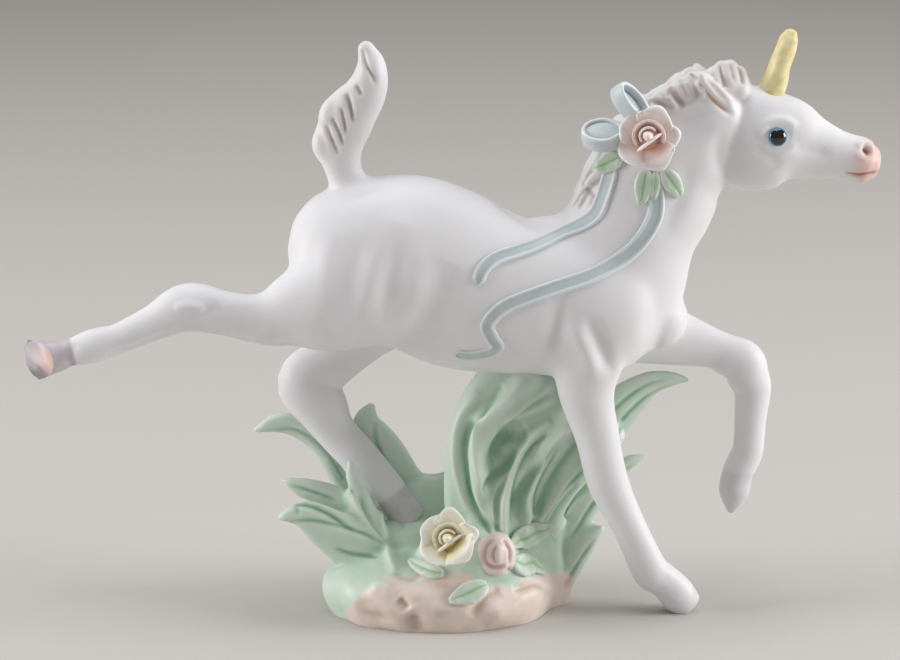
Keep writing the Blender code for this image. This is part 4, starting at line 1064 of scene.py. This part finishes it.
FAR_SIDE = (
    (((8.0, 6.0), (6.0, 20.0), (7.0, 34.0), (12.0, 47.0)), 1.2, -1.0, FAR),
    (((13.0, 6.0), (12.0, 20.0), (14.0, 33.0), (19.0, 46.0)), 1.2, -1.1, FAR),
    (((18.0, 6.0), (18.5, 20.0), (22.0, 32.0), (27.0, 43.0)), 1.2, -1.1, FAR),
    (((10.5, 6.0), (9.0, 20.0), (10.5, 34.0), (15.5, 47.0)), 1.0, 0.7, FAR),
    (((15.5, 6.0), (15.2, 20.0), (18.0, 33.0), (23.0, 45.0)), 1.0, 0.7, FAR),
    (((-12.0, 6.0), (-14.0, 15.0), (-15.0, 24.0)), 1.2, -0.9, FAR),
    (((-3.0, 6.0), (-4.0, 14.0), (-3.0, 20.0)), 1.4, -1.0, FAR),
)
EARTH = (
    (((-10.6, 7.8), (-9.2, 6.8), (-8.4, 5.6)), 1.0, -0.9, NEAR),
    (((-12.0, 12.2), (-8.4, 11.6), (-5.0, 11.8)), 1.5, -0.6, NEAR),
    (((-8.4, 5.0), (-6.8, 2.6), (-6.2, 0.0)), 2.2, -1.0, NEAR),
    (((-17.0, 9.0), (-13.6, 9.8), (-11.0, 8.6)), 1.5, 0.9, NEAR),
    (((-3.4, 7.0), (1.0, 6.0), (6.0, 6.4)), 1.8, 0.8, NEAR),
    (((8.0, 3.0), (13.0, 4.0), (18.0, 6.0)), 1.9, 0.7, NEAR),
    (((5.4, 4.0), (8.4, 7.6), (12.0, 9.0)), 1.2, -0.7, NEAR),
    (((15.0, 8.6), (19.0, 8.8), (22.0, 7.6)), 1.1, -0.7, NEAR),
    (((-20.0, 5.0), (-16.0, 3.4), (-12.0, 4.6)), 1.6, -0.6, NEAR),
    (((-18.0, 7.0), (-4.0, 5.6), (10.0, 7.0)), 1.4, -0.6, FAR),
)
carve(turf, RIDGES, sharp=True)
scored = carve(turf, HOLLOWS)
veins = carve(turf, VEINS)
carve(turf, FAR_SIDE)
cracks = carve(turf, EARTH)
place, normal, edges = read(turf)
x, y, z = place.T
lump = np.sin(0.31 * x + 1.0) * np.sin(0.37 * y + 0.7) + 0.5 * np.sin(0.55 * x - 0.35 * y + 0.4 * z)
place = place + normal * (0.38 * lump * (1 - step(z, 8.0, 13.0)))[:, None]
place = relax(place, edges, 0.7, 3)
write(turf, place)
lay(turf, "vein", veins)
lay(turf, "scored", scored)
lay(turf, "crack", cracks)
level_foot(turf)
thin(turf, TURF_TRIANGLES)
print("The veins touch", int((veins > 0.5).sum()), "points")

# %% Their paint
GREEN_WASH = "#c6dcc9"
GREEN_DEEP = "#86b291"
GREEN_VEIN = "#5f9c6c"
# Pale mint for the ridges: partly thin wash, partly a painted highlight.
GREEN_RIDGE_WEAR_AND_HIGHLIGHT = "#e3ece1"
EARTH_TAN = "#ead9cd"
EARTH_BROWN = "#b08a6c"


# A mint wash, worn pale on ridges with a painted highlight there, deep green in hollows and
# veins with painted shade in the hollows, and tan below.
TURF_WASHES = (
    (GREEN_WASH, "grass", 0.95), (GREEN_RIDGE_WEAR_AND_HIGHLIGHT, "ridge_wear_and_highlight", 0.8), (GREEN_DEEP, "deep", 0.85),
    (GREEN_VEIN, "vein_paint", 0.75), (EARTH_TAN, "earth", 1.0), (EARTH_BROWN, "brown", 0.8),
)
BORDER_X = (-26, -22, -18, -8, 0, 8, 16, 22, 27)
BORDER_Z = (1.0, 3.0, 8.0, 12.4, 12.6, 10.6, 9.8, 8.6, 7.0)
place, normal, edges = read(turf)
x, y, z = place.T
hollow = hollows(place, normal, edges, 14, 0.30)
fine = hollows(place, normal, edges, 4, 0.08)
wavy = 0.9 * np.sin(0.33 * x + 0.4) + 0.5 * np.sin(0.8 * x + 0.5 * y) + 0.3 * np.sin(1.9 * x - y)
border = np.interp(x, BORDER_X, BORDER_Z) + wavy
earth = (1 - step(z, border - 0.8, border + 0.8)) * step(x - 0.25 * y, -21.0, -17.0)
lay(turf, "earth", earth)
lay(turf, "grass", 1 - earth * 0.9)
# Pale on the ridges: partly thin, worn wash and partly a painted highlight.
lay(turf, "ridge_wear_and_highlight", np.clip(-hollow * 1.5, 0, 1) * (1 - earth))
in_hollow = np.clip(hollow, 0, 1)
in_crease = np.clip(fine, 0, 1)
# Deep green in hollows, creases and scored lines: partly pooled wash, partly painted shade.
lay(turf, "deep", (in_hollow * 0.75 + in_crease * 0.3 + 0.25 * stored(turf, "scored")) * (1 - earth))
lay(turf, "vein_paint", stored(turf, "vein") ** 1.5 * 0.7 * (1 - earth))
blotch = np.sin(0.55 * x + 2.0) * np.sin(0.9 * z + 0.45 * y) - 0.35
blotch = np.clip(blotch, 0, 1)
# Brown on the earth: its cracks and random blotches, and painted shade in its creases.
lay(turf, "brown", earth * (stored(turf, "crack") ** 2 * 0.4 + in_crease * 0.35 + blotch * 0.45))
dress(turf, washed("green_and_tan_washed_bisque", TURF_WASHES, WHITE_BISQUE))

# %% [markdown]
# ## Ribbon
#
# The ribbon is thin slabs of clay: two streamers laid down on the coat and two loops of a bow
# behind the rose. Both edges of each are raised, and the brush left them nearly white.

# %% Streamers
RIBBON_WIDTH, RIBBON_RISE = 3.8, 0.95
UPPER_STREAMER = (
    (36.0, 102.0), (33.8, 94.8), (31.8, 91.1), (27.3, 88.2), (21.5, 85.9), (15.9, 84.2), (10.9, 82.9),
    (8.0, 80.6), (6.8, 77.6),
)
LOWER_STREAMER = (
    (44.5, 102.0), (45.3, 93.7), (44.0, 89.3), (40.8, 84.9), (36.6, 81.7), (30.9, 79.1), (23.8, 76.9),
    (17.4, 74.7), (12.4, 72.5), (9.1, 68.8), (9.9, 65.8), (11.2, 63.3), (9.1, 61.6), (5.2, 60.9), (2.2, 61.2),
)


def on_coat(tree, points, gap=0.6):
    """Points on the near side of the skin under an x-z line, and the skin's normals there,
    both averaged along the line over seven neighbours so that the band lies calm."""
    spots, ways = [], []
    for px, pz in points:
        hit, way, _, _ = tree.ray_cast(Vector((px * MM, -0.1, pz * MM)), Vector((0.0, 1.0, 0.0)))
        if hit is None:
            hit, way, _, _ = tree.find_nearest(Vector((px * MM, -0.02, pz * MM)))
        spots.append(np.array(hit) / MM)
        ways.append(np.array(way))
    blend = np.ones(7) / 7
    padded = [np.pad(np.array(rows), ((3, 3), (0, 0)), mode="edge") for rows in (spots, ways)]
    calm = [np.stack([np.convolve(rows[:, k], blend, "valid") for k in range(3)], 1) for rows in padded]
    facing = calm[1] / np.linalg.norm(calm[1], axis=1)[:, None]
    calm[0][:, (0, 2)] = np.asarray(points)
    return calm[0], facing


def band(spots, facing, half, rise, edge):
    """A band on a surface. Across it u runs from -1 to 1, and its height over the surface is
    rise (0.42 + 0.5 bead + 0.5 small - 0.4 |u|^8), where bead and small are bell curves about
    u = 0.78 edge and u = -0.80 edge. It goes 0.75 rise into the surface below and narrows at
    both ends. The tint is the two bell curves together."""
    tangent = np.gradient(spots, axis=0)
    tangent /= np.linalg.norm(tangent, axis=1)[:, None]
    cross = np.cross(tangent, facing)
    cross /= np.linalg.norm(cross, axis=1)[:, None]
    u = np.concatenate([np.linspace(-1.0, 1.0, 15), [1.0, 0.0, -1.0]])
    bead = np.exp(-((u - edge * 0.78) / 0.22) ** 2)
    small = np.exp(-((u + edge * 0.80) / 0.2) ** 2) * 0.7
    top = 0.42 + 0.5 * bead + 0.5 * small - 0.4 * np.abs(u) ** 8
    height = np.concatenate([top[:15], [-0.75, -0.75, -0.75]])
    grow = np.ones(len(spots))
    grow[:4] *= (0.3, 0.65, 0.88, 0.97)
    grow[-4:] *= (0.97, 0.88, 0.65, 0.3)
    wide = (half * grow)[:, None, None]
    rings = (spots[:, None] + cross[:, None] * u[None, :, None] * wide
             + facing[:, None] * height[None, :, None] * rise)
    marks = np.concatenate([(bead + small)[:15], [0, 0, 0]])
    return tube(rings, marks[None])


def streamer(tree, points, edge):
    """A streamer on the coat, a quarter narrower at its free end."""
    line = smooth(points, 10)
    spots, facing = on_coat(tree, line)
    half = RIBBON_WIDTH / 2 * (1.0 - 0.25 * np.linspace(0, 1, len(line)))
    return band(spots, facing, half, RIBBON_RISE * 0.8, edge)


# %% Bow
BOW_SHEET, BOW_HALF_BAND = 1.1, 2.0
BOW_LOOPS = (
    ((39.8, 115.6), (-0.60, 0.0, 0.80), (0.60, -0.62, 0.50), 4.8, 2.2, -0.35),
    ((34.0, 109.0), (-1.0, 0.0, 0.12), (-0.10, -0.62, 0.78), 4.4, 3.0, 0.35),
)


def bow_loop(tree, centre, out, axis, long, deep, fill):
    """A band rolled about an axis. Its middle line is an oval, long cos(t) outwards and
    deep sin(t) (1 - 0.5 c^2) across, where c is how far t has come round to the knot. The
    band's section is a rounded bar: half the sheet times cos(a)^(1/2), and half the band
    times sin(a), along the axis. A cushion closes it at the share fill of that half band."""
    knot_y = touch(tree, 43.1, 107.8, -1)[1]
    middle = np.array([centre[0], knot_y - 0.6, centre[1]])
    axis = np.asarray(axis, float) / np.linalg.norm(axis)
    out = np.asarray(out, float) - axis * np.dot(out, axis)
    out /= np.linalg.norm(out)
    across = np.cross(axis, out)
    t = np.linspace(0.0, 2 * math.pi, 61)[:-1]
    pinch = 1 - 0.5 * np.clip(-np.cos(t), 0, 1) ** 2
    line = middle + np.outer(np.cos(t), out) * long + np.outer(np.sin(t) * pinch, across) * deep
    tangent = np.roll(line, -1, 0) - np.roll(line, 1, 0)
    tangent /= np.linalg.norm(tangent, axis=1)[:, None]
    outward = np.cross(tangent, axis)
    a = np.arange(24) * 2 * math.pi / 24
    bar = BOW_SHEET / 2 * np.sign(np.cos(a)) * np.abs(np.cos(a)) ** 0.5
    rings = (line[:, None] + outward[:, None] * bar[None, :, None]
             + axis * (BOW_HALF_BAND * np.sin(a))[None, :, None])
    first = np.arange(60)[:, None] * 24 + np.arange(24)
    turned = np.arange(60)[:, None] * 24 + (np.arange(24) + 1) % 24
    quads = np.stack([first, turned, np.roll(turned, -1, 0), np.roll(first, -1, 0)], -1).reshape(-1, 4)
    marks = np.broadcast_to(np.abs(np.sin(a)) ** 6, (60, 24)).ravel()
    rim = (rings.reshape(-1, 3), quads, np.zeros((0, 3), int), marks)
    along = np.linspace(-0.94, 0.94, 17)
    reach = np.sqrt(1 - along ** 2)
    cloth = loft(middle + axis * BOW_HALF_BAND * fill + np.outer(along, out) * long,
                 deep * reach, 0.5 + 0.7 * reach, across=axis, ends=(0.4, 0.4))
    return [rim, cloth]


# A grey-blue wash, worn nearly white on the raised edges and darker in the folds.
RIBBON_WASHES = (("#c4d0d3", "wash", 0.9), ("#eef2f3", "tint", 0.9), ("#94afb4", "shade", 0.7))
ribbon = new_object("ribbon", [
    streamer(foal_skin, UPPER_STREAMER, -1.0), streamer(foal_skin, LOWER_STREAMER, -1.0),
    *[form for loop in BOW_LOOPS for form in bow_loop(foal_skin, *loop)],
])
face_out(ribbon)
place, normal, edges = read(ribbon)
lay(ribbon, "wash", np.ones(len(place)))
lay(ribbon, "shade", np.clip(hollows(place, normal, edges, 6, 0.15), 0, 1) + 0.35 * (normal[:, 1] > 0.3))
dress(ribbon, washed("blue_grey_washed_bisque", RIBBON_WASHES, WHITE_BISQUE))

# %% [markdown]
# ## Petals and leaves
#
# A porcelain rose is made by hand. The maker pinches flat drops of clay into petals, thin as
# card at the rim, and presses five of them round a rolled bud. A thin sheet is a surface on
# a grid, with a second surface a little behind it and a rounded rim between the two.

# %% A thin sheet with a rounded rim
def sheet(face, thickness, tint):
    """face is a grid (rows, columns, 3). The solid is face + n d and face - n d, where d is
    half the thickness times (1 - e^10)^(1/2), with at least 0.02 under the root, and e is the
    distance from the middle towards the nearest rim, so the rim closes round."""
    rows, columns, _ = face.shape
    along = np.gradient(face, axis=0)
    across = np.gradient(face, axis=1)
    normal = np.cross(along, across)
    normal /= np.maximum(np.linalg.norm(normal, axis=2), 1e-9)[..., None]
    s = np.abs(np.linspace(-1, 1, rows))[:, None]
    t = np.abs(np.linspace(-1, 1, columns))[None]
    half = thickness / 2 * np.sqrt(np.clip(1 - np.maximum(s, t) ** 10, 0.02, 1))[..., None]
    loop = np.concatenate([face + normal * half, (face - normal * half)[:, ::-1]], 1)
    marks = np.concatenate([tint, tint[:, ::-1]], 1)
    return tube(loop, marks)


# %% One petal
def petal(reach, turn, breadth, lift, seed):
    """s runs from heart to rim and t across. Along the petal a point goes out to
    reach (0.1 + 0.9 s) (1 - 0.42 s |t|^2.2), across it to breadth t (0.34 + 0.66 sin(pi (0.06 +
    0.60 s))), and up to lift sin(pi s / 2)^0.8 with the rim rolled down by 0.35 mm, both sides
    0.5 mm up, one of them 0.6 mm more so that it laps over its neighbour, and a low ruffle."""
    s = np.linspace(0.0, 1.0, 24)[:, None]
    t = np.linspace(-1.0, 1.0, 27)[None]
    ruffle = 1 + 0.03 * np.sin(3.5 * t + seed) * s ** 3
    out = reach * (0.10 + 0.90 * s) * (1 - 0.42 * np.abs(t) ** 2.2 * s) * ruffle
    side = breadth * t * (0.34 + 0.66 * np.sin(math.pi * (0.06 + 0.60 * s)))
    height = (lift * np.sin(math.pi * s / 2) ** 0.8 - 0.35 * s ** 6 + 0.5 * t ** 2 * s + 0.6 * t * s
              + 0.14 * np.sin(4 * t + 2 * seed) * s ** 3)
    face = np.stack([out * math.cos(turn) - side * math.sin(turn),
                     out * math.sin(turn) + side * math.cos(turn), height], -1)
    return sheet(face, 0.62, np.broadcast_to(s, (24, 27)) * 1.0)


def strip(start, end, foot, height):
    """A petal edge seen from above: a wall that leans from a foot line, nearer the heart by
    the share foot, out to the straight line from start to end, lower at both ends."""
    u = np.linspace(0.0, 1.0, 24)[:, None]
    v = np.linspace(0.0, 1.0, 10)[None]
    share = foot + (1 - foot) * v
    x = (start[0] + (end[0] - start[0]) * u) * share
    y = (start[1] + (end[1] - start[1]) * u) * share
    face = np.stack([x, y, height * v * (0.84 + 0.16 * np.sin(math.pi * u))], -1)
    return sheet(face, 0.75, np.broadcast_to(0.3 + 0.7 * v, (24, 10)) * 1.0)


def roll(radius, height, start, sweep, flare, top):
    """A rolled petal: a part of a cone's wall from angle start over sweep, whose top edge
    falls away towards both ends."""
    u = np.linspace(0.0, 1.0, 40)[:, None]
    v = np.linspace(0.0, 1.0, 12)[None]
    angle = start + sweep * u
    tall = height * (0.62 + 0.38 * np.sin(math.pi * (0.12 + 0.76 * u)) ** 0.6)
    out = radius * (0.55 + (flare - 0.55) * v ** 0.8) * (1 - 0.10 * (u - 0.5))
    face = np.stack([out * np.cos(angle), out * np.sin(angle), tall * v], -1)
    return sheet(face, 0.55, np.broadcast_to(0.25 + top * v, (40, 12)) * 1.0)


def turned(form, centre, axis, up=(0.0, 0.0, 1.0)):
    """Stand a form made about +Z on centre, with +Z along axis and +Y as near up as can be."""
    axis = np.asarray(axis, float) / np.linalg.norm(axis)
    y_way = np.asarray(up, float) - axis * np.dot(up, axis)
    y_way /= np.linalg.norm(y_way)
    frame_ways = np.stack([np.cross(y_way, axis), y_way, axis])
    return (form[0] @ frame_ways + centre, *form[1:])


def rose_axis(tilt):
    """The way a rose faces: outwards, a little to the tail and tilted up."""
    return np.array([-0.10, -math.cos(math.radians(tilt)), math.sin(math.radians(tilt))])


def node_middle(node):
    """The middle of a CAD node in x and z, and its rearmost y, in mm."""
    low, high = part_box(node)
    return np.array([(low[0] + high[0]) / 2, high[1], (low[2] + high[2]) / 2]) / MM


# %% The two roses
NECK_PETALS = (
    (7.0, 7, 3.4, 1.7), (7.3, 71, 4.1, 2.9), (7.3, -62, 4.3, 2.3), (7.3, -141, 4.2, 1.8),
    (7.0, 144, 4.1, 2.5),
)
GROUND_PETALS = (
    (6.8, 14, 2.9, 4.0), (7.2, 90, 3.4, 3.0), (6.3, -38, 4.4, 4.6), (6.9, -142, 4.4, 3.2),
    (7.0, 148, 4.0, 3.0),
)
NECK_TILT, GROUND_TILT = 12.0, 24.0
BUD_TINT = 0.72


def rose(petals, cup, node, tilt, heart):
    """Five open petals, a rolled inner petal, a flat one across it and the rolled bud, whose
    place is heart. A petal is reach, turn in degrees, half breadth and lift."""
    forms = []
    for k, (reach, turn, breadth, lift) in enumerate(petals):
        forms.append(petal(reach, math.radians(turn), breadth, lift, 1.3 * k))
    upwards = (0.0, 0.0, cup)
    inner = [roll(3.2, cup * 0.80, math.radians(-25), 4.3, 1.10, 0.5),
             roll(2.0, cup * 0.92, math.radians(35), 3.3, 0.95, 0.5),
             loft(np.outer((0.0, 0.3, 0.55), upwards), (2.6, 2.5, 1.7), (2.6, 2.5, 1.7), ends=(0.0, 0.7)),
             loft(np.outer((0.2, 0.6, 0.9, 1.12), upwards), (1.2, 1.35, 1.15, 0.6),
                  (1.0, 1.1, 0.95, 0.5), across=(0.5, 0.85, 0.0), ends=(0.0, 0.8))]
    inner[-1] = (*inner[-1][:3], inner[-1][3] + BUD_TINT)
    forms.extend((form[0] + np.array([*heart, 0.0]), *form[1:]) for form in inner)
    forms.append(strip((-2.3, -2.8), (2.9, 1.2), 0.55, cup * 0.98))
    forms.append(loft(np.outer((0.0, 0.14, 0.3), upwards), (2.6, 2.6, 2.2), (2.6, 2.6, 2.2),
                      ends=(0.0, 0.4)))
    axis = rose_axis(tilt)
    return [turned(form, node_middle(node), axis) for form in forms]


def rose_finish(name, petal_colour, rim, heart, deep):
    """Thin petals: a pale rim, a warmer throat and the deepest tone between the rolls, which is
    partly painted shade.
    """
    washes = ((rim, "rim", 0.95), (heart, "heart", 0.85), (deep, "deep", 0.8))
    return washed(name, washes, petal_colour, roughness=0.40, sunk=0.25)


def finish_rose(name, node, forms, material):
    """Make the piece and its paint layers, and put it in the place of its CAD node."""
    thing = new_object(name, forms)
    face_out(thing)
    place, normal, edges = read(thing)
    axis = rose_axis(NECK_TILT if node == "neck_rose" else GROUND_TILT)
    offset = place - node_middle(node)
    out = np.linalg.norm(offset - np.outer(offset @ axis, axis), axis=1)
    size = out.max()
    tint = stored(thing, "tint")
    crease = np.clip(hollows(place, normal, edges, 5, 0.15), 0, 1)
    lay(thing, "rim", step(tint, 0.80, 0.98))
    # The throat and the deepest tone also take the creases, as painted shade.
    lay(thing, "heart", (1 - step(tint, 0.25, 0.85)) * (1 - step(out / size, 0.5, 0.9)) + 0.4 * crease)
    lay(thing, "deep", (1 - step(tint, 0.10, 0.45)) * (1 - step(out / size, 0.2, 0.6)) + 0.3 * crease)
    dress(thing, material, node)
    print(name, "is", round(2 * float(size), 1), "mm across")


finish_rose("pink_rose_petals", "neck_rose",
            rose(NECK_PETALS, 4.4, "neck_rose", NECK_TILT, (0.0, 0.5)),
            rose_finish("pink_washed_bisque", "#f3e6e2", "#fdfaf8", "#efcbbb", "#dd9d82"))
finish_rose("cream_rose_petals", "ground_rose",
            rose(GROUND_PETALS, 4.6, "ground_rose", GROUND_TILT, (-0.2, 0.2)),
            rose_finish("cream_washed_bisque", "#f4f0e1", "#fbf9ee", "#efe2ab", "#dab963"))

# %% Rosebud
BUD = (11.2, 16.3)
BUD_HALF = (4.3, 3.6, 5.3)
BUD_RIDGES = (
    (((11.6, 19.4), (11.5, 17.0), (11.6, 14.9)), 1.0, 0.55, NEAR),
    (((8.4, 20.4), (7.2, 17.6), (7.6, 14.6), (10.0, 12.9), (13.0, 13.4)), 1.0, 0.45, NEAR),
)
BUD_GROOVES = (
    (((10.2, 20.4), (8.6, 18.4), (8.5, 15.6), (10.4, 14.2), (13.0, 14.5)), 0.55, -0.75, NEAR),
    (((11.0, 19.4), (10.2, 17.2), (10.9, 15.1)), 0.4, -0.55, NEAR),
    (((12.6, 20.2), (14.1, 17.8), (13.9, 14.8)), 0.5, -0.7, NEAR),
    (((7.0, 15.0), (8.4, 12.6), (11.0, 11.3), (13.2, 11.6)), 0.45, -0.55, NEAR),
    (((13.6, 14.0), (14.2, 12.6), (13.9, 11.2)), 0.5, -0.7, NEAR),
)

turf_skin = skin_tree(turf)
seat = touch(turf_skin, *BUD, -1)
bud = fuse("rosebud", [ball((BUD[0], seat[1] + 0.8, BUD[1] - 0.4), BUD_HALF)], 0.2)
carve(bud, BUD_RIDGES)
bud_grooves = carve(bud, BUD_GROOVES)
place, normal, edges = read(bud)
write(bud, relax(place, edges, 0.6, 2))
# Paler on raised folds as a painted highlight; grooves darker, partly paint, partly painted shade.
lay(bud, "rim", np.clip(-hollows(place, normal, edges, 8, 0.12), 0, 1))
lay(bud, "heart", np.clip(bud_grooves, 0, 1) * 0.6)
lay(bud, "deep", bud_grooves ** 2 * 0.5)
bud_finish = rose_finish("mauve_pink_washed_bisque", "#e9d8d4", "#f6efed", "#dcb9b1", "#ba8d83")
dress(bud, bud_finish)

# %% Leaves
NECK_LEAVES = (
    (38.4, 104.1, 208.0, 7.4, 2.2), (43.2, 101.6, 260.5, 7.6, 2.1), (45.2, 101.2, 264.0, 6.0, 1.1),
    (46.8, 101.8, 301.0, 7.2, 2.1),
)
GROUND_LEAVES = (
    (9.0, 10.4, 199.0, 8.8, 2.6), (14.2, 16.7, 16.0, 9.8, 2.7), (14.2, 14.8, 324.0, 9.4, 2.7),
    (-0.4, 12.6, 175.0, 7.8, 1.8),
)


def leaf(tree, x, z, heading, length, half):
    """A pointed leaf on the surface behind it, s along it and t from -1 to 1 across. Its
    breadth follows sin(pi s^0.8)^0.75 with a wave of 3 %, and it rises 0.55 + 0.35 |t| -
    0.5 |t|^4 mm, with a ripple of 0.05 mm, so its mid vein lies in a valley. The tint is how
    near the vein is."""
    s = np.linspace(0.0, 1.0, 30)
    t = np.linspace(-1.0, 1.0, 15)
    way = math.radians(heading)
    line = np.stack([x + s * length * math.cos(way), z + s * length * math.sin(way)], 1)
    spots, facing = on_coat(tree, line)
    tangent = np.gradient(spots, axis=0)
    tangent /= np.linalg.norm(tangent, axis=1)[:, None]
    cross = np.cross(tangent, facing)
    breadth = half * np.sin(math.pi * np.clip(s, 0.02, 0.985) ** 0.8) ** 0.75 * (1 + 0.03 * np.sin(s * 40))
    off = np.abs(t)[None]
    swell = np.interp(s, (0, 0.15, 0.8, 1), (0.5, 1, 1, 0.55))[:, None]
    rise = (0.55 + 0.35 * off - 0.5 * off ** 4) * swell
    rise = rise + 0.05 * np.sin(22 * s[:, None] - 5 * off) * off
    face = (spots[:, None] + cross[:, None] * t[None, :, None] * breadth[:, None, None]
            + facing[:, None] * rise[..., None])
    vein = np.exp(-(t[None] / 0.16) ** 2) * np.interp(s, (0, 0.1, 0.8, 1), (0, 1, 0.8, 0))[:, None]
    return sheet(face, 1.0, vein)


# A leaf green wash with a dark vein, thinner on the raised rim, where it is partly a painted
# highlight.
LEAF_WASHES = (("#bdd3b8", "wash", 0.95), ("#7fa876", "tint", 0.8))
leaf_material = washed("leaf_washed_bisque", LEAF_WASHES, WHITE_BISQUE)
SPRAYS = (("neck_leaves", NECK_LEAVES, foal_skin), ("ground_leaves", GROUND_LEAVES, turf_skin))
for name, leaves, tree in SPRAYS:
    thing = new_object(name, [leaf(tree, *row) for row in leaves])
    face_out(thing)
    place, normal, edges = read(thing)
    # The raised rim is paler: thinner wash there, and partly a painted highlight.
    lay(thing, "wash", 1.0 - 0.6 * np.clip(-hollows(place, normal, edges, 3, 0.12), 0, 1))
    dress(thing, leaf_material)

# %% [markdown]
# ## Floor, light and camera
#
# The photograph was taken in a light tent: a pale paper sweep, a wide soft light above, and
# one soft box on each side, 0.30 m up and a little towards the camera.

# %% Floor
FLOOR_HALF = 3.0


def floor_finish():
    """Matt paper. Its warm grey grows a little deeper from 0.25 m to 1.0 m away, as painted
    shade for the light falling off away from the middle.
    """
    material = bpy.data.materials.new("matt_paper_sweep")
    material.use_nodes = True
    tree = material.node_tree
    shader = tree.nodes["Principled BSDF"]
    shader.inputs["Roughness"].default_value = 0.9
    shader.inputs["Specular IOR Level"].default_value = 0.1
    where = add(tree, "ShaderNodeTexCoord").outputs["Object"]
    away = add(tree, "ShaderNodeVectorMath", {0: where}, operation="LENGTH")
    share = add(tree, "ShaderNodeMapRange", {"Value": away.outputs["Value"], 1: 0.25, 2: 1.0, 3: 0.0, 4: 1.0})
    grey = add(tree, "ShaderNodeMix", {0: share.outputs[0], 6: linear("#cdc9c4"), 7: linear("#cbc6bf")},
               data_type="RGBA")
    tree.links.new(grey.outputs[2], shader.inputs["Base Color"])
    return material


corners = FLOOR_HALF * np.array([(-1, -1, 0), (1, -1, 0), (1, 1, 0), (-1, 1, 0)]) / MM
floor = new_object("floor", [(corners, np.array([(0, 1, 2, 3)]), np.zeros((0, 3), int), np.zeros(4))])
floor.data.materials.append(floor_finish())


# %% Lamps
LAMPS = (
    ("above", (0.05, 0.05, 1.1), 1.0, 7.0),
    ("right", (1.0, -0.12, 0.30), 0.45, 7.3),
    ("left", (-1.0, -0.12, 0.30), 0.45, 6.6),
)
LIT_SPOT = Vector((0, 0, 0.07))
TENT_GREY = "#eeeef2"
TENT_STRENGTH = 0.25


def soft_box(name, place, size, watts):
    """A square area lamp that looks at the middle of the foal."""
    lamp = bpy.data.lights.new(name, "AREA")
    lamp.shape = "SQUARE"
    lamp.size = size
    lamp.energy = watts
    holder = bpy.data.objects.new(name, lamp)
    holder.location = place
    holder.rotation_euler = (LIT_SPOT - Vector(place)).to_track_quat("-Z", "Y").to_euler()
    bpy.context.scene.collection.objects.link(holder)


for row in LAMPS:
    soft_box(*row)
world = bpy.data.worlds.new("light tent")
world.use_nodes = True
sky = world.node_tree.nodes["Background"]
sky.inputs["Color"].default_value = linear(TENT_GREY)
sky.inputs["Strength"].default_value = TENT_STRENGTH
bpy.context.scene.world = world
bpy.context.scene.view_settings.view_transform = "Standard"

# %% Camera
CAMERA_DISTANCE = 0.700
CAMERA_RISE = math.radians(14.0)
LOOKED_AT = Vector((0.9, 0.0, 63.9)) * MM
SENSOR_MM, FOCAL_MM = 36.0, 126.9
lens = bpy.data.cameras.new("camera")
lens.sensor_width = SENSOR_MM
lens.lens = FOCAL_MM
lens.clip_start = 0.01
camera = bpy.data.objects.new("camera", lens)
camera.location = LOOKED_AT + CAMERA_DISTANCE * Vector((0.0, -math.cos(CAMERA_RISE), math.sin(CAMERA_RISE)))
camera.rotation_euler = (LOOKED_AT - camera.location).to_track_quat("-Z", "Y").to_euler()
bpy.context.scene.collection.objects.link(camera)
bpy.context.scene.camera = camera
